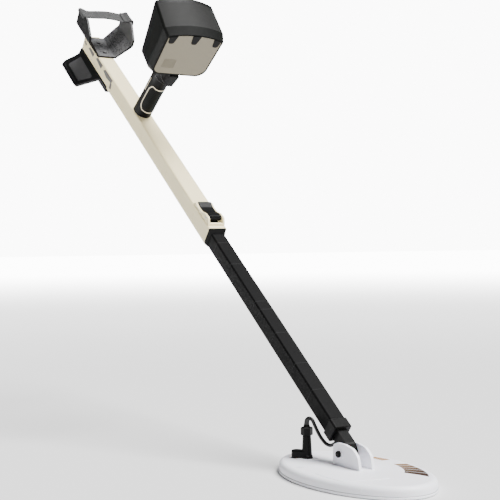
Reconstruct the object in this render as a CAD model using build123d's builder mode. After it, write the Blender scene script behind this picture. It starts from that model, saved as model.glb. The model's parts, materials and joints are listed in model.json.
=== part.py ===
"""Metal detector on a telescopic shaft: search coil, lower shaft, upper shaft, grip, control pod,
arm cuff and stand.

Row frame: millimetres, +X forward, +Y left, +Z up. The origin is on the ground, under the coil's
pivot, with the coil lying flat and the shaft raised. Along the shaft, s is the distance up from the
pivot and u the distance above the pivot's line, square to the shaft.
"""

import os
from math import cos, pi, radians, sin, tan

from build123d import *

# ---- Driving dimensions ----
SHAFT_PITCH = 37.9  # degrees between the shaft and the ground

COIL_LENGTH = 300.0
COIL_WIDTH = 178.0
COIL_THICK = 17.6
COIL_CENTRE_X = 18.0  # the coil's centre is ahead of its pivot
SKID_THICK = 4.0
SHELL_WALL = 2.4
PIVOT_Z = 34.7

EAR_INNER = 9.2  # from the middle plane to an ear's inner face
EAR_THICK = 4.4
BOLT_R = 3.0
RUN_GAP = 0.06  # radial clearance of turning fits

TUBE_SIZE = 26.8
TUBE_CORNER_R = 3.2
TUBE_WALL = 2.0
TUBE_MID_U = 10.2  # the lower tube's axis is above the pivot
TUBE_START = 31.0
TUBE_END = 600.0
TONGUE_HALF = 8.5

SHELL_WIDTH = 36.0  # upper shaft
SHELL_TOP_U = 31.5
SHELL_BOTTOM_U = -6.0
SHELL_SKIN = 2.2
SHELL_START = 503.0
SHELL_END = 1191.0
SLIDE_GAP = 0.15

LATCH_PIN_S = 526.0
LATCH_PIN_U = 37.2
LATCH_PIN_R = 2.0

GRIP_S = 886.0
GRIP_LEAN = 18.0  # degrees forward of the shaft's normal
GRIP_DEPTH = 43.0
GRIP_WIDTH = 33.0
GRIP_LENGTH = 98.0

POD_S = 798.0  # the bottom edge of the pod's front panel
POD_U = 167.0
POD_LEAN = 17.1
POD_DEPTH = 80.0
POD_MAX_HALF = 61.0
POD_WALL = 2.6

CUFF_FRONT = 1103.0
CUFF_REAR = 1182.0
CUFF_WALL = 4.0

STAND_START = 1030.0
STAND_END = 1194.0

# ---- Frames ----
LEFT = Vector(0, 1, 0)
ALONG = Vector(-cos(radians(SHAFT_PITCH)), 0, sin(radians(SHAFT_PITCH)))
ABOVE = Vector(sin(radians(SHAFT_PITCH)), 0, cos(radians(SHAFT_PITCH)))
PIVOT = Vector(0, 0, PIVOT_Z)


def on_shaft(s, u, y=0.0):
    """The point at s along the shaft, u above the pivot's line and y to the left."""
    return PIVOT + ALONG * s + ABOVE * u + LEFT * y


def leaning(lean):
    """The back and up directions of a frame that leans forward from the shaft's normal."""
    angle = radians(lean)
    back = ALONG * cos(angle) + ABOVE * sin(angle)
    up = ABOVE * cos(angle) - ALONG * sin(angle)
    return back, up


def shaft_side(y=0.0):
    """Plane along the shaft: its sketches are in (s, u), and extrusions go to the left."""
    return Plane(origin=on_shaft(0, 0, y), x_dir=ALONG, z_dir=LEFT)


def shaft_section(s):
    """Plane square to the shaft: its sketches are in (-y, u), and extrusions go up the shaft."""
    return Plane(origin=on_shaft(s, 0), x_dir=-LEFT, z_dir=ALONG)


def shaft_top(u):
    """Plane above the shaft: its sketches are in (s, -y), and extrusions go upwards."""
    return Plane(origin=on_shaft(0, u), x_dir=ALONG, z_dir=ABOVE)


GRIP_BACK, GRIP_UP = leaning(GRIP_LEAN)
GRIP_FOOT = on_shaft(GRIP_S, SHELL_TOP_U)
POD_BACK, POD_UP = leaning(POD_LEAN)
POD_ORIGIN = on_shaft(POD_S, POD_U)


def grip_side(y=0.0):
    """Plane along the grip: its sketches are in (back, up)."""
    return Plane(origin=GRIP_FOOT + LEFT * y, x_dir=GRIP_BACK, z_dir=LEFT)


def grip_section(height):
    """Plane square to the grip: its sketches are in (back, -y), and extrusions go up the grip."""
    return Plane(origin=GRIP_FOOT + GRIP_UP * height, x_dir=GRIP_BACK, z_dir=GRIP_UP)


def pod_side(y=0.0):
    """Plane along the pod: its sketches are in (depth, height)."""
    return Plane(origin=POD_ORIGIN + LEFT * y, x_dir=POD_BACK, z_dir=LEFT)


def pod_section(depth):
    """Plane facing the pod's front panel: its sketches are in (-y, height)."""
    return Plane(origin=POD_ORIGIN + POD_BACK * depth, x_dir=-LEFT, z_dir=POD_BACK)


def save(part, label):
    """Label a finished piece and write it as its own STEP file."""
    part.label = label
    export_step(part, f"parts/{label}.step")


def outline(points, *radii):
    """A face through the points, with its corners rounded: one radius each, or one for all."""
    if len(radii) == 1:
        radii = radii * len(points)
    with BuildLine() as edge:
        Polyline(*points, close=True)
    with BuildSketch() as area:
        make_face(edge.edges())
        for point, radius in zip(points, radii):
            if radius:
                fillet(area.vertices().sort_by_distance((*point, 0))[0], radius)
    return area.sketch


os.makedirs("parts", exist_ok=True)

# ---- Search coil ----
COIL_A = COIL_LENGTH / 2
COIL_B = COIL_WIDTH / 2
SHOULDER_R = 8.0
POST_X = -71.5
POST_Y = -23.0
POST_PAD = 1.2
LOBE_ANGLE = 215  # degrees from +X, seen from above
LOBE_REACH = 17.0
LOBE_WIDTH = 15.0
LOBE_HEIGHT = 11.5
LOBE_HOLE_R = 2.1


def coil_slab(inset, z_low, z_high, mode=Mode.ADD):
    """An oval slab of the coil's outline, drawn in by inset, between two heights."""
    with BuildSketch(Plane.XY.offset(z_low)) as oval:
        with Locations((COIL_CENTRE_X, 0)):
            Ellipse(COIL_A - inset, COIL_B - inset)
    return extrude(oval.sketch, amount=z_high - z_low, mode=mode)


EAR_OUTLINE = [(-18, 15.5), (-17, 46), (-6, 50.5), (12, 50), (30, 46.5), (43, 37), (47.5, 15.5)]
EAR_RADII = [0, 7, 7, 6, 14, 16, 0]
BOSS_R = 7.4
BOSS_RISE = 1.3
RIB_STATIONS = (2, 11, 20)

with BuildPart() as coil_shell:
    coil_slab(0.8, SKID_THICK, COIL_THICK)
    fillet(coil_shell.edges().group_by(Axis.Z)[-1], SHOULDER_R)
    coil_slab(0.8 + SHELL_WALL, SKID_THICK, COIL_THICK - SHELL_WALL, Mode.SUBTRACT)
    for side in (-1, 1):
        inner_face = Plane.XZ.offset(-side * EAR_INNER)
        with BuildSketch(inner_face):
            add(outline(EAR_OUTLINE, *EAR_RADII))
        extrude(amount=-side * EAR_THICK)
        with BuildSketch(Plane.XZ.offset(-side * (EAR_INNER + EAR_THICK))):
            with Locations((0, PIVOT_Z)):
                Circle(BOSS_R)
        extrude(amount=-side * BOSS_RISE)
        for x in RIB_STATIONS:
            rib = Plane(origin=(x, side * (EAR_INNER + EAR_THICK), COIL_THICK - 0.5),
                        x_dir=(0, side, 0), z_dir=(-side, 0, 0))
            with BuildSketch(rib):
                Polygon((0, 0), (2.4, 0), (0, 7), align=None)
            extrude(amount=0.9, both=True)
    with BuildSketch(Plane.XZ):
        with Locations((0, PIVOT_Z)):
            Circle(BOLT_R)
    extrude(amount=30, both=True, mode=Mode.SUBTRACT)
    with BuildSketch(Plane.XY.offset(COIL_THICK - 1)):
        with Locations((POST_X, POST_Y)):
            SlotCenterPoint((0, 0), (5.5, 0), 24, rotation=LOBE_ANGLE)
    extrude(amount=1 + POST_PAD, taper=8)
save(coil_shell.part, "coil_shell")

with BuildPart() as skid_cover:
    coil_slab(0, 0, SKID_THICK)
    fillet(skid_cover.edges().group_by(Axis.Z)[0], 1.6)
    fillet(skid_cover.edges().group_by(Axis.Z)[-1], 1.2)
    coil_slab(6, 2, SKID_THICK, Mode.SUBTRACT)
save(skid_cover.part, "skid_cover")

TRANSMIT_INSET = 11.0
RECEIVE_INSET = 34.0
WINDING_WIDTH = 9.0
with BuildPart() as transmit_winding:
    coil_slab(TRANSMIT_INSET, SKID_THICK + 0.5, SKID_THICK + 8)
    coil_slab(TRANSMIT_INSET + WINDING_WIDTH, SKID_THICK + 0.5, SKID_THICK + 8, Mode.SUBTRACT)
save(transmit_winding.part, "transmit_winding")

with BuildPart() as receive_winding:
    coil_slab(RECEIVE_INSET, SKID_THICK + 0.5, SKID_THICK + 8)
    coil_slab(RECEIVE_INSET + WINDING_WIDTH, SKID_THICK + 0.5, SKID_THICK + 8, Mode.SUBTRACT)
save(receive_winding.part, "receive_winding")

# ---- Cable post on the coil ----
POST_Z = COIL_THICK + POST_PAD
NUT_Z = 53.0
NUT_TOP = 65.5
BOOT_TOP = 69.0
CABLE_D = 5.4

lobe_run = Vector(cos(radians(LOBE_ANGLE)), sin(radians(LOBE_ANGLE)), 0)
with BuildPart() as post_lobe:
    with BuildSketch(Plane(origin=(POST_X, POST_Y, POST_Z), x_dir=lobe_run, z_dir=(0, 0, 1))):
        SlotCenterPoint((LOBE_REACH / 2, 0), (LOBE_REACH, 0), LOBE_WIDTH)
        with Locations((LOBE_REACH, 0)):
            Circle(LOBE_HOLE_R, mode=Mode.SUBTRACT)
    extrude(amount=LOBE_HEIGHT)
    rim = post_lobe.faces().sort_by(Axis.Z)[-1].outer_wire()
    fillet(rim.edges(), 2.0)

with BuildPart() as cable_post:
    post_plane = Plane(origin=(POST_X, POST_Y, 0), x_dir=(1, 0, 0), z_dir=(0, -1, 0))
    with BuildSketch(post_plane):
        Polygon((0, POST_Z), (8.9, POST_Z), (8.9, POST_Z + 3.4), (7.7, POST_Z + 4.6),
                (6.3, NUT_Z), (0, NUT_Z), align=None)
    revolve(axis=Axis((POST_X, POST_Y, 0), (0, 0, 1)))
    add(post_lobe.part)
save(cable_post.part, "cable_post")

with BuildPart() as gland_nut:
    with BuildSketch(Plane.XY.offset(NUT_Z)):
        with Locations((POST_X, POST_Y)):
            RegularPolygon(9.2, 6)
    extrude(amount=NUT_TOP - NUT_Z)
    chamfer(gland_nut.edges().group_by(Axis.Z)[-1], 1.4)
    chamfer(gland_nut.edges().group_by(Axis.Z)[0], 1.0)
save(gland_nut.part, "gland_nut")

with BuildPart() as cable_boot:
    boot_plane = Plane(origin=(POST_X, POST_Y, 0), x_dir=(1, 0, 0), z_dir=(0, -1, 0))
    with BuildSketch(boot_plane):
        Polygon((0, NUT_TOP), (5.4, NUT_TOP), (4.2, BOOT_TOP), (0, BOOT_TOP), align=None)
    revolve(axis=Axis((POST_X, POST_Y, 0), (0, 0, 1)))
save(cable_boot.part, "cable_boot")

# The cable's route, from the boot into its hole in the underside of the yoke.
CABLE_ROUTE = [
    (-71.5, -23.0, 69.0),
    (-71.5, -23.0, 75.0),
    (-67.2, -21.4, 78.9),
    (-61.7, -19.3, 77.6),
    (-57.5, -16.8, 66.5),
    (-49.6, -12.6, 51.0),
    (-38.6, -8.8, 41.2),
    (-26.6, -5.8, 42.6),
    (-19.0, -4.0, 50.6),
]


def route_radii(route):
    """The radius at each corner: 0.45 of its shorter run over the tangent of half the turn."""
    points = [Vector(*point) for point in route]
    radii = []
    for before, here, after in zip(points, points[1:], points[2:]):
        run_in = here - before
        run_out = after - here
        half_turn = radians(run_in.get_angle(run_out) / 2)
        radii.append(0.45 * min(run_in.length, run_out.length) / tan(half_turn))
    return radii


CABLE_RADII = route_radii(CABLE_ROUTE)
print("cable radii", [round(radius, 1) for radius in CABLE_RADII])

with BuildPart() as coil_cable:
    with BuildLine() as cable_line:
        FilletPolyline(*CABLE_ROUTE, radius=CABLE_RADII)
    with BuildSketch(Plane(origin=cable_line.line @ 0, z_dir=cable_line.line % 0)):
        Circle(CABLE_D / 2)
    sweep(path=cable_line.line)
cable_length = cable_line.wires()[0].length
print("cable length", round(cable_length, 1), "volume over section times length",
      round(coil_cable.part.volume / (pi * CABLE_D**2 / 4 * cable_length), 4))
save(coil_cable.part, "coil_cable")

# ---- Coil pivot ----
BOLT_HEAD_R = 4.9
BOLT_HEAD_THICK = 4.4
WASHER_R = 11.0
NUT_FACE = EAR_INNER + EAR_THICK + BOSS_RISE
BOLT_REACH = NUT_FACE + 11

with BuildPart() as pivot_bolt:
    with BuildSketch(Plane.XZ.offset(NUT_FACE)):
        with Locations((0, PIVOT_Z)):
            Circle(BOLT_HEAD_R)
    extrude(amount=BOLT_HEAD_THICK)
    fillet(pivot_bolt.edges().group_by(Axis.Y)[0], 2.2)
    with BuildSketch(Plane.XZ.offset(NUT_FACE)):
        with Locations((0, PIVOT_Z)):
            Circle(BOLT_R)
    extrude(amount=-NUT_FACE - BOLT_REACH)
save(pivot_bolt.part, "pivot_bolt")

THUMB_NUT_R = 10.5
with BuildPart() as thumb_nut:
    with BuildSketch(Plane.XZ.offset(-NUT_FACE - 0.1)):
        with Locations((0, PIVOT_Z)):
            Circle(THUMB_NUT_R)
            with PolarLocations(THUMB_NUT_R + 1.6, 8):
                Circle(3, mode=Mode.SUBTRACT)
            Circle(BOLT_R + RUN_GAP, mode=Mode.SUBTRACT)
    extrude(amount=-9.5)
    fillet(thumb_nut.faces().sort_by(Axis.Y)[-1].outer_wire().edges(), 0.8)
save(thumb_nut.part, "thumb_nut")

with BuildPart() as friction_washers:
    for side in (-1, 1):
        with BuildSketch(Plane.XZ.offset(-side * EAR_INNER)):
            with Locations((0, PIVOT_Z)):
                Circle(WASHER_R)
                Circle(BOLT_R, mode=Mode.SUBTRACT)
        extrude(amount=side * (EAR_INNER - TONGUE_HALF - 0.06))
save(friction_washers.part, "friction_washers")

# ---- Lower shaft ----
TONGUE_OUTLINE = [(TUBE_START, -1.2), (TUBE_START, 17.8), (3, 17.8), (-13.2, 9.4),
                  (-13.2, -6), (-5, -13), (6, -13), (15, -1.2)]
TONGUE_RADII = [0, 0, 8, 7, 6, 5, 6, 6]
YOKE_END = 120.0

with BuildPart() as yoke:
    with BuildSketch(shaft_side()):
        add(outline(TONGUE_OUTLINE, *TONGUE_RADII))
    extrude(amount=TONGUE_HALF, both=True)
    with BuildSketch(shaft_section(TUBE_START)):
        with Locations((0, TUBE_MID_U)):
            RectangleRounded(TUBE_SIZE - 2 * TUBE_WALL, TUBE_SIZE - 2 * TUBE_WALL, 1.5)
    extrude(amount=YOKE_END - TUBE_START)
    with BuildSketch(shaft_side()):
        Circle(BOLT_R + RUN_GAP)
    extrude(amount=TONGUE_HALF, both=True, mode=Mode.SUBTRACT)
    hole_end = Vector(*CABLE_ROUTE[-1])
    hole_run = (hole_end - Vector(*CABLE_ROUTE[-2])).normalized()
    with BuildSketch(Plane(origin=hole_end + hole_run * 0.5, z_dir=hole_run)):
        Circle(CABLE_D / 2 + 0.35)
    extrude(amount=-14, mode=Mode.SUBTRACT)
save(yoke.part, "yoke")

with BuildPart() as lower_tube:
    with BuildSketch(shaft_section(TUBE_START)):
        with Locations((0, TUBE_MID_U)):
            RectangleRounded(TUBE_SIZE, TUBE_SIZE, TUBE_CORNER_R)
            RectangleRounded(TUBE_SIZE - 2 * TUBE_WALL, TUBE_SIZE - 2 * TUBE_WALL, 1.5,
                             mode=Mode.SUBTRACT)
    extrude(amount=TUBE_END - TUBE_START)
save(lower_tube.part, "lower_tube")

FERRULE_WIDTH = 30.4
FERRULE_START = 29.5
FERRULE_END = 47.5
with BuildPart() as ferrule:
    with BuildSketch(shaft_section(FERRULE_START)):
        with Locations((0, TUBE_MID_U - 0.5)):
            RectangleRounded(FERRULE_WIDTH, FERRULE_WIDTH - 1, 3)
    extrude(amount=FERRULE_END - FERRULE_START)
    chamfer(ferrule.faces().filter_by(Plane(origin=(0, 0, 0), z_dir=ALONG)).edges(), 0.8)
    with BuildSketch(shaft_section(TUBE_START)):
        with Locations((0, TUBE_MID_U)):
            RectangleRounded(TUBE_SIZE, TUBE_SIZE, TUBE_CORNER_R)
    extrude(amount=FERRULE_END - TUBE_START, mode=Mode.SUBTRACT)
    with BuildSketch(shaft_section(FERRULE_START)):
        with Locations((0, 8.3)):
            Rectangle(2 * TONGUE_HALF, 19)
    extrude(amount=TUBE_START - FERRULE_START, mode=Mode.SUBTRACT)
save(ferrule.part, "ferrule")

GLIDE_LENGTH = 30.0
with BuildPart() as rear_glide:
    with BuildSketch(shaft_section(TUBE_END)):
        with Locations((0, TUBE_MID_U + 0.15)):
            RectangleRounded(30.6, TUBE_SIZE + 0.3, 7.6)
    extrude(amount=GLIDE_LENGTH / 3)
    with BuildSketch(shaft_section(TUBE_END)):
        with Locations((0, TUBE_MID_U)):
            RectangleRounded(TUBE_SIZE - 2 * TUBE_WALL, TUBE_SIZE - 2 * TUBE_WALL, 1.5)
    extrude(amount=-GLIDE_LENGTH)
save(rear_glide.part, "rear_glide")

# ---- Upper shaft ----
SHELL_MID_U = (SHELL_TOP_U + SHELL_BOTTOM_U) / 2
SHELL_HEIGHT = SHELL_TOP_U - SHELL_BOTTOM_U
TOP_CORNER_R = 3.2
BOTTOM_CORNER_R = 9.0
SCREW_R = 2.0
GRIP_SCREW_STATIONS = (GRIP_S - 11, GRIP_S + 9)
CUFF_SCREW_STATIONS = (1118.0, 1158.0)
STAND_SCREW_STATIONS = (1092.0, 1180.0)


def shell_section(inset, mode=Mode.ADD):
    """The upper shaft's section, drawn in by inset, in a sketch square to the shaft."""
    half = SHELL_WIDTH / 2 - inset
    corners = [(-half, SHELL_BOTTOM_U + inset), (half, SHELL_BOTTOM_U + inset),
               (half, SHELL_TOP_U - inset), (-half, SHELL_TOP_U - inset)]
    low = BOTTOM_CORNER_R - inset
    high = max(TOP_CORNER_R - inset, 1.0)
    add(outline(corners, low, low, high, high), mode=mode)


SHOE_START = 519.0
SHOE_END = 533.0
SHOE_HALF = 8.0
TICK_STATIONS = (561, 694, 825, 948)

with BuildPart() as upper_shaft:
    with BuildSketch(shaft_section(SHELL_START)):
        shell_section(0)
        shell_section(SHELL_SKIN, Mode.SUBTRACT)
    extrude(amount=SHELL_END - SHELL_START)
    with BuildSketch(shaft_top(SHELL_TOP_U - SHELL_SKIN - 1)):
        with Locations(((SHOE_START + SHOE_END) / 2, 0)):
            Rectangle(SHOE_END - SHOE_START + 0.6, 2 * SHOE_HALF + 0.6)
    extrude(amount=SHELL_SKIN + 2, mode=Mode.SUBTRACT)
    for side in (-1, 1):
        for station in TICK_STATIONS:
            with BuildSketch(shaft_side(side * (SHELL_WIDTH / 2 - 0.4))):
                with Locations((station, 10.5)):
                    Rectangle(0.9, 17, rotation=-24)
            extrude(amount=side, mode=Mode.SUBTRACT)
    with BuildSketch(shaft_top(SHELL_MID_U)):
        with Locations(*[(s, 0) for s in GRIP_SCREW_STATIONS + CUFF_SCREW_STATIONS]):
            Circle(SCREW_R)
    extrude(amount=SHELL_HEIGHT, mode=Mode.SUBTRACT)
    with BuildSketch(shaft_top(SHELL_MID_U)):
        with Locations(*[(s, 0) for s in STAND_SCREW_STATIONS]):
            Circle(SCREW_R)
    extrude(amount=-SHELL_HEIGHT, mode=Mode.SUBTRACT)
save(upper_shaft.part, "upper_shaft")

GUIDE_END = 560.0
COLLAR_LENGTH = 7.0
COLLAR_HALF = TUBE_SIZE / 2 + 0.8
with BuildPart() as mouth_guide:
    with BuildSketch(shaft_section(SHELL_START)):
        shell_section(SHELL_SKIN)
    extrude(amount=GUIDE_END - SHELL_START)
    with BuildSketch(shaft_section(SHELL_START)):
        shell_section(0.7)
    with BuildSketch(shaft_section(SHELL_START - COLLAR_LENGTH)):
        low, high = TUBE_MID_U - COLLAR_HALF, TUBE_MID_U + COLLAR_HALF
        add(outline([(-COLLAR_HALF, low), (COLLAR_HALF, low), (COLLAR_HALF, high),
                     (-COLLAR_HALF, high)], 3))
    loft()
    with BuildSketch(shaft_section(SHELL_START - COLLAR_LENGTH - 1)):
        with Locations((0, TUBE_MID_U)):
            RectangleRounded(TUBE_SIZE + 2 * SLIDE_GAP, TUBE_SIZE + 2 * SLIDE_GAP,
                             TUBE_CORNER_R)
    extrude(amount=GUIDE_END - SHELL_START + COLLAR_LENGTH + 2, mode=Mode.SUBTRACT)
    with BuildSketch(shaft_top(TUBE_MID_U)):
        with Locations(((SHOE_START + SHOE_END) / 2, 0)):
            Rectangle(SHOE_END - SHOE_START + 0.6, 2 * SHOE_HALF + 0.6)
    extrude(amount=30, mode=Mode.SUBTRACT)
save(mouth_guide.part, "mouth_guide")

# ---- Latch ----
CHEEK_INNER = 12.9
CHEEK_OUTER = 16.4
CHEEK_OUTLINE = [(511, SHELL_TOP_U), (577, SHELL_TOP_U), (571, 37.6), (558, 35.4), (545, 36.4),
                 (533, 41.8), (519, 42.8), (512.5, 36)]
CAM_R = 4.4
CAM_OFFSET = 1.0  # the cam presses down when the lever is shut
LEVER_OUTLINE = [(522.8, 40.0), (526, 42.4), (533, 41.2), (545, 37.2), (558, 36.6), (570, 40.2),
                 (572, 38.4), (566, 33.0), (552, 32.3), (533, 32.6)]

with BuildPart() as latch_bracket:
    for side in (-1, 1):
        with BuildSketch(shaft_side(side * CHEEK_INNER)):
            add(outline(CHEEK_OUTLINE, 0, 0, 3, 8, 8, 5, 4, 3))
            with Locations((LATCH_PIN_S, LATCH_PIN_U)):
                Circle(LATCH_PIN_R, mode=Mode.SUBTRACT)
        extrude(amount=side * (CHEEK_OUTER - CHEEK_INNER))
    with BuildSketch(shaft_side()):
        with Locations((513.5, SHELL_TOP_U + 1.5)):
            RectangleRounded(5, 3, 1.0)
    extrude(amount=CHEEK_OUTER, both=True)
save(latch_bracket.part, "latch_bracket")

with BuildPart() as latch_lever:
    with BuildSketch(shaft_side()):
        add(outline(LEVER_OUTLINE, 1, 1.5, 4, 12, 12, 0.9, 0.9, 3, 6, 2))
        with Locations((LATCH_PIN_S, LATCH_PIN_U - CAM_OFFSET)):
            Circle(CAM_R)
        with Locations((LATCH_PIN_S, LATCH_PIN_U)):
            Circle(LATCH_PIN_R + RUN_GAP, mode=Mode.SUBTRACT)
    extrude(amount=CHEEK_INNER - 0.4, both=True)
save(latch_lever.part, "latch_lever")

with BuildPart() as latch_pin:
    with BuildSketch(shaft_side()):
        with Locations((LATCH_PIN_S, LATCH_PIN_U)):
            Circle(LATCH_PIN_R)
    extrude(amount=CHEEK_OUTER + 0.3, both=True)
save(latch_pin.part, "latch_pin")

SHOE_TOP = LATCH_PIN_U - CAM_OFFSET - CAM_R - 0.12
SHOE_BOTTOM = TUBE_MID_U + TUBE_SIZE / 2 + 0.05
with BuildPart() as latch_shoe:
    with BuildSketch(shaft_top(SHOE_BOTTOM)):
        with Locations(((SHOE_START + SHOE_END) / 2, 0)):
            Rectangle(SHOE_END - SHOE_START, 2 * SHOE_HALF)
    extrude(amount=SHOE_TOP - SHOE_BOTTOM)
save(latch_shoe.part, "latch_shoe")

# ---- Grip ----
CORE_DEPTH = 34.0
CORE_WIDTH = 25.0
CORE_BORE = 4.0
INSERT_DEEP = 1.6
TRIM_WIDTH = 1.8
INSERT_OUTLINE = [(-30, 23), (-13.5, 23), (-7.8, 30.5), (-6.3, 40), (-6.8, 76), (-12.3, 87),
                  (-18, 85.5), (-30, 85.5)]
INSERT_RADII = [0, 5, 4, 5, 5, 3, 5, 0]
INSERT_RIBS = 14
RIB_PITCH = 3.8
NECK_START = 96.0
SLEEVE_FLARE = 14.0  # the sleeve widens a little below this height
GRIP_SCREW_DEEP = 13.0
CUT_BLOCK = (120.0, 80.0)  # length and width of the block that trims the grip's foot


def grip_oval(grow, low, high, mode=Mode.ADD):
    """A stretch of the grip's oval section, larger by grow all round, between two heights."""
    with BuildSketch(grip_section(low)) as oval:
        Ellipse(GRIP_DEPTH / 2 + grow, GRIP_WIDTH / 2 + grow)
    return extrude(oval.sketch, amount=high - low, mode=mode)


def insert_zone(grow, mode):
    """The side view of the finger insert, larger by grow, right through the grip."""
    with BuildSketch(grip_side()) as zone:
        add(outline(INSERT_OUTLINE, *INSERT_RADII))
        if grow:
            offset(amount=grow)
    return extrude(zone.sketch, amount=GRIP_WIDTH, both=True, mode=mode)


with BuildPart() as grip_core:
    with BuildSketch(grip_section(-2)):
        Ellipse(CORE_DEPTH / 2, CORE_WIDTH / 2)
        Circle(CORE_BORE, mode=Mode.SUBTRACT)
    extrude(amount=NECK_START + 4)
    with BuildSketch(shaft_top(SHELL_TOP_U - 30)):
        with Locations((GRIP_S, 0)):
            Rectangle(*CUT_BLOCK)
    extrude(amount=30, mode=Mode.SUBTRACT)
    with BuildSketch(shaft_top(SHELL_TOP_U)):
        with Locations(*[(s, 0) for s in GRIP_SCREW_STATIONS]):
            Circle(SCREW_R)
    extrude(amount=GRIP_SCREW_DEEP, mode=Mode.SUBTRACT)
save(grip_core.part, "grip_core")

with BuildPart() as insert_pocket:
    grip_oval(1, SLEEVE_FLARE, NECK_START)
    grip_oval(-INSERT_DEEP, SLEEVE_FLARE - 1, NECK_START + 1, Mode.SUBTRACT)
    insert_zone(TRIM_WIDTH, Mode.INTERSECT)

with BuildPart() as grip_sleeve:
    with BuildSketch(grip_section(-9)):
        Ellipse(GRIP_DEPTH / 2 + 0.8, GRIP_WIDTH / 2)
    with BuildSketch(grip_section(SLEEVE_FLARE)):
        Ellipse(GRIP_DEPTH / 2, GRIP_WIDTH / 2)
    loft()
    grip_oval(0, SLEEVE_FLARE, NECK_START)
    with BuildSketch(grip_section(-12)):
        Ellipse(CORE_DEPTH / 2, CORE_WIDTH / 2)
    extrude(amount=NECK_START + 20, mode=Mode.SUBTRACT)
    with BuildSketch(shaft_top(SHELL_TOP_U - 30)):
        with Locations((GRIP_S, 0)):
            Rectangle(*CUT_BLOCK)
    extrude(amount=30, mode=Mode.SUBTRACT)
    add(insert_pocket.part, mode=Mode.SUBTRACT)
save(grip_sleeve.part, "grip_sleeve")

with BuildPart() as grip_insert:
    grip_oval(0, SLEEVE_FLARE, NECK_START)
    grip_oval(-INSERT_DEEP, SLEEVE_FLARE, NECK_START, Mode.SUBTRACT)
    insert_zone(0, Mode.INTERSECT)
    for rib in range(INSERT_RIBS):
        with BuildSketch(grip_section(30 + RIB_PITCH * rib)) as groove:
            Ellipse(GRIP_DEPTH / 2 + 1, GRIP_WIDTH / 2 + 1)
            Ellipse(GRIP_DEPTH / 2 - 0.7, GRIP_WIDTH / 2 - 0.7, mode=Mode.SUBTRACT)
        extrude(groove.sketch, amount=1.3, mode=Mode.SUBTRACT)
save(grip_insert.part, "grip_insert")

with BuildPart() as grip_trim:
    grip_oval(0.35, SLEEVE_FLARE, NECK_START)
    grip_oval(-INSERT_DEEP, SLEEVE_FLARE, NECK_START, Mode.SUBTRACT)
    insert_zone(TRIM_WIDTH, Mode.INTERSECT)
    insert_zone(0, Mode.SUBTRACT)
save(grip_trim.part, "grip_trim")

with BuildPart() as grip_screws:
    for station in GRIP_SCREW_STATIONS:
        with BuildSketch(shaft_top(SHELL_TOP_U - SHELL_SKIN)):
            with Locations((station, 0)):
                Circle(4)
        extrude(amount=-2.6)
        with BuildSketch(shaft_top(SHELL_TOP_U - SHELL_SKIN)):
            with Locations((station, 0)):
                Circle(SCREW_R)
        extrude(amount=SHELL_SKIN + GRIP_SCREW_DEEP)
save(grip_screws.part, "grip_screws")

# ---- Control pod ----
# Each section: depth, half width below and above, bottom, top corners, rise of the crown.
POD_SECTIONS = [
    (0, 54.5, 57.5, -1.5, 94, 8.5),
    (17, 57.0, 61.0, -7, 97, 11),
    (91, 50.0, 58.8, -21, 97.5, 11),
]
REAR_DEPTH = 62.0
REAR_HEIGHT = -6.0
REAR_LEAN = 12.5
REAR_TOP_DEPTH = REAR_DEPTH + 120 * tan(radians(REAR_LEAN))
POD_PROFILE = [(0, -1.5), (0, 110), (REAR_TOP_DEPTH, 114), (REAR_DEPTH, REAR_HEIGHT),
               (54, -12.5), (33, -12.5)]
PROFILE_RADII = [0, 0, 0, 4, 6, 8]
NEAR_CORNER_R = 13.0
FAR_CORNER_R = 20.0
CROWN_CORNER_R = 5.0


def crowned(half_low, half_high, low, high, crown, shrink=0.0):
    """The pod's outline seen from the front: straight sides, rounded corners, arched top."""
    half_low, half_high = half_low - shrink, half_high - shrink
    low, high = low + shrink, high - shrink
    with BuildLine() as edge:
        Polyline((half_high, high), (half_low, low), (-half_low, low), (-half_high, high))
        ThreePointArc((-half_high, high), (0, high + crown), (half_high, high))
    with BuildSketch() as area:
        make_face(edge.edges())
        corners = [(half_low, low, NEAR_CORNER_R), (-half_low, low, FAR_CORNER_R),
                   (half_high, high, CROWN_CORNER_R), (-half_high, high, CROWN_CORNER_R)]
        for x, height, radius in corners:
            fillet(area.vertices().sort_by_distance((x, height, 0))[0], radius - shrink)
    return area.sketch


def pod_solid(shrink):
    """The pod's closed form, drawn in by shrink on every side."""
    with BuildPart() as solid:
        for depth, *sizes in POD_SECTIONS:
            with BuildSketch(pod_section(depth)):
                add(crowned(*sizes, shrink))
        loft(ruled=True)
        with BuildSketch(pod_side()):
            add(outline(POD_PROFILE, *PROFILE_RADII))
            if shrink:
                offset(amount=-shrink)
        extrude(amount=POD_MAX_HALF + 4, both=True, mode=Mode.INTERSECT)
    return solid.part


def behind(gap):
    """A thick slab of everything behind a plane that is gap in front of the pod's rear face."""
    with BuildPart() as slab:
        with BuildSketch(face_plane(-gap)):
            Rectangle(200, 400)
        extrude(amount=90)
    return slab.part


FACE_BACK, FACE_UP = leaning(POD_LEAN - REAR_LEAN)
FACE_ORIGIN = POD_ORIGIN + POD_BACK * REAR_DEPTH + POD_UP * REAR_HEIGHT


def face_plane(out=0.0):
    """Plane on the pod's rear face: its sketches are in (-y, height up the face)."""
    return Plane(origin=FACE_ORIGIN + FACE_BACK * out, x_dir=-LEFT, z_dir=FACE_BACK)


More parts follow.
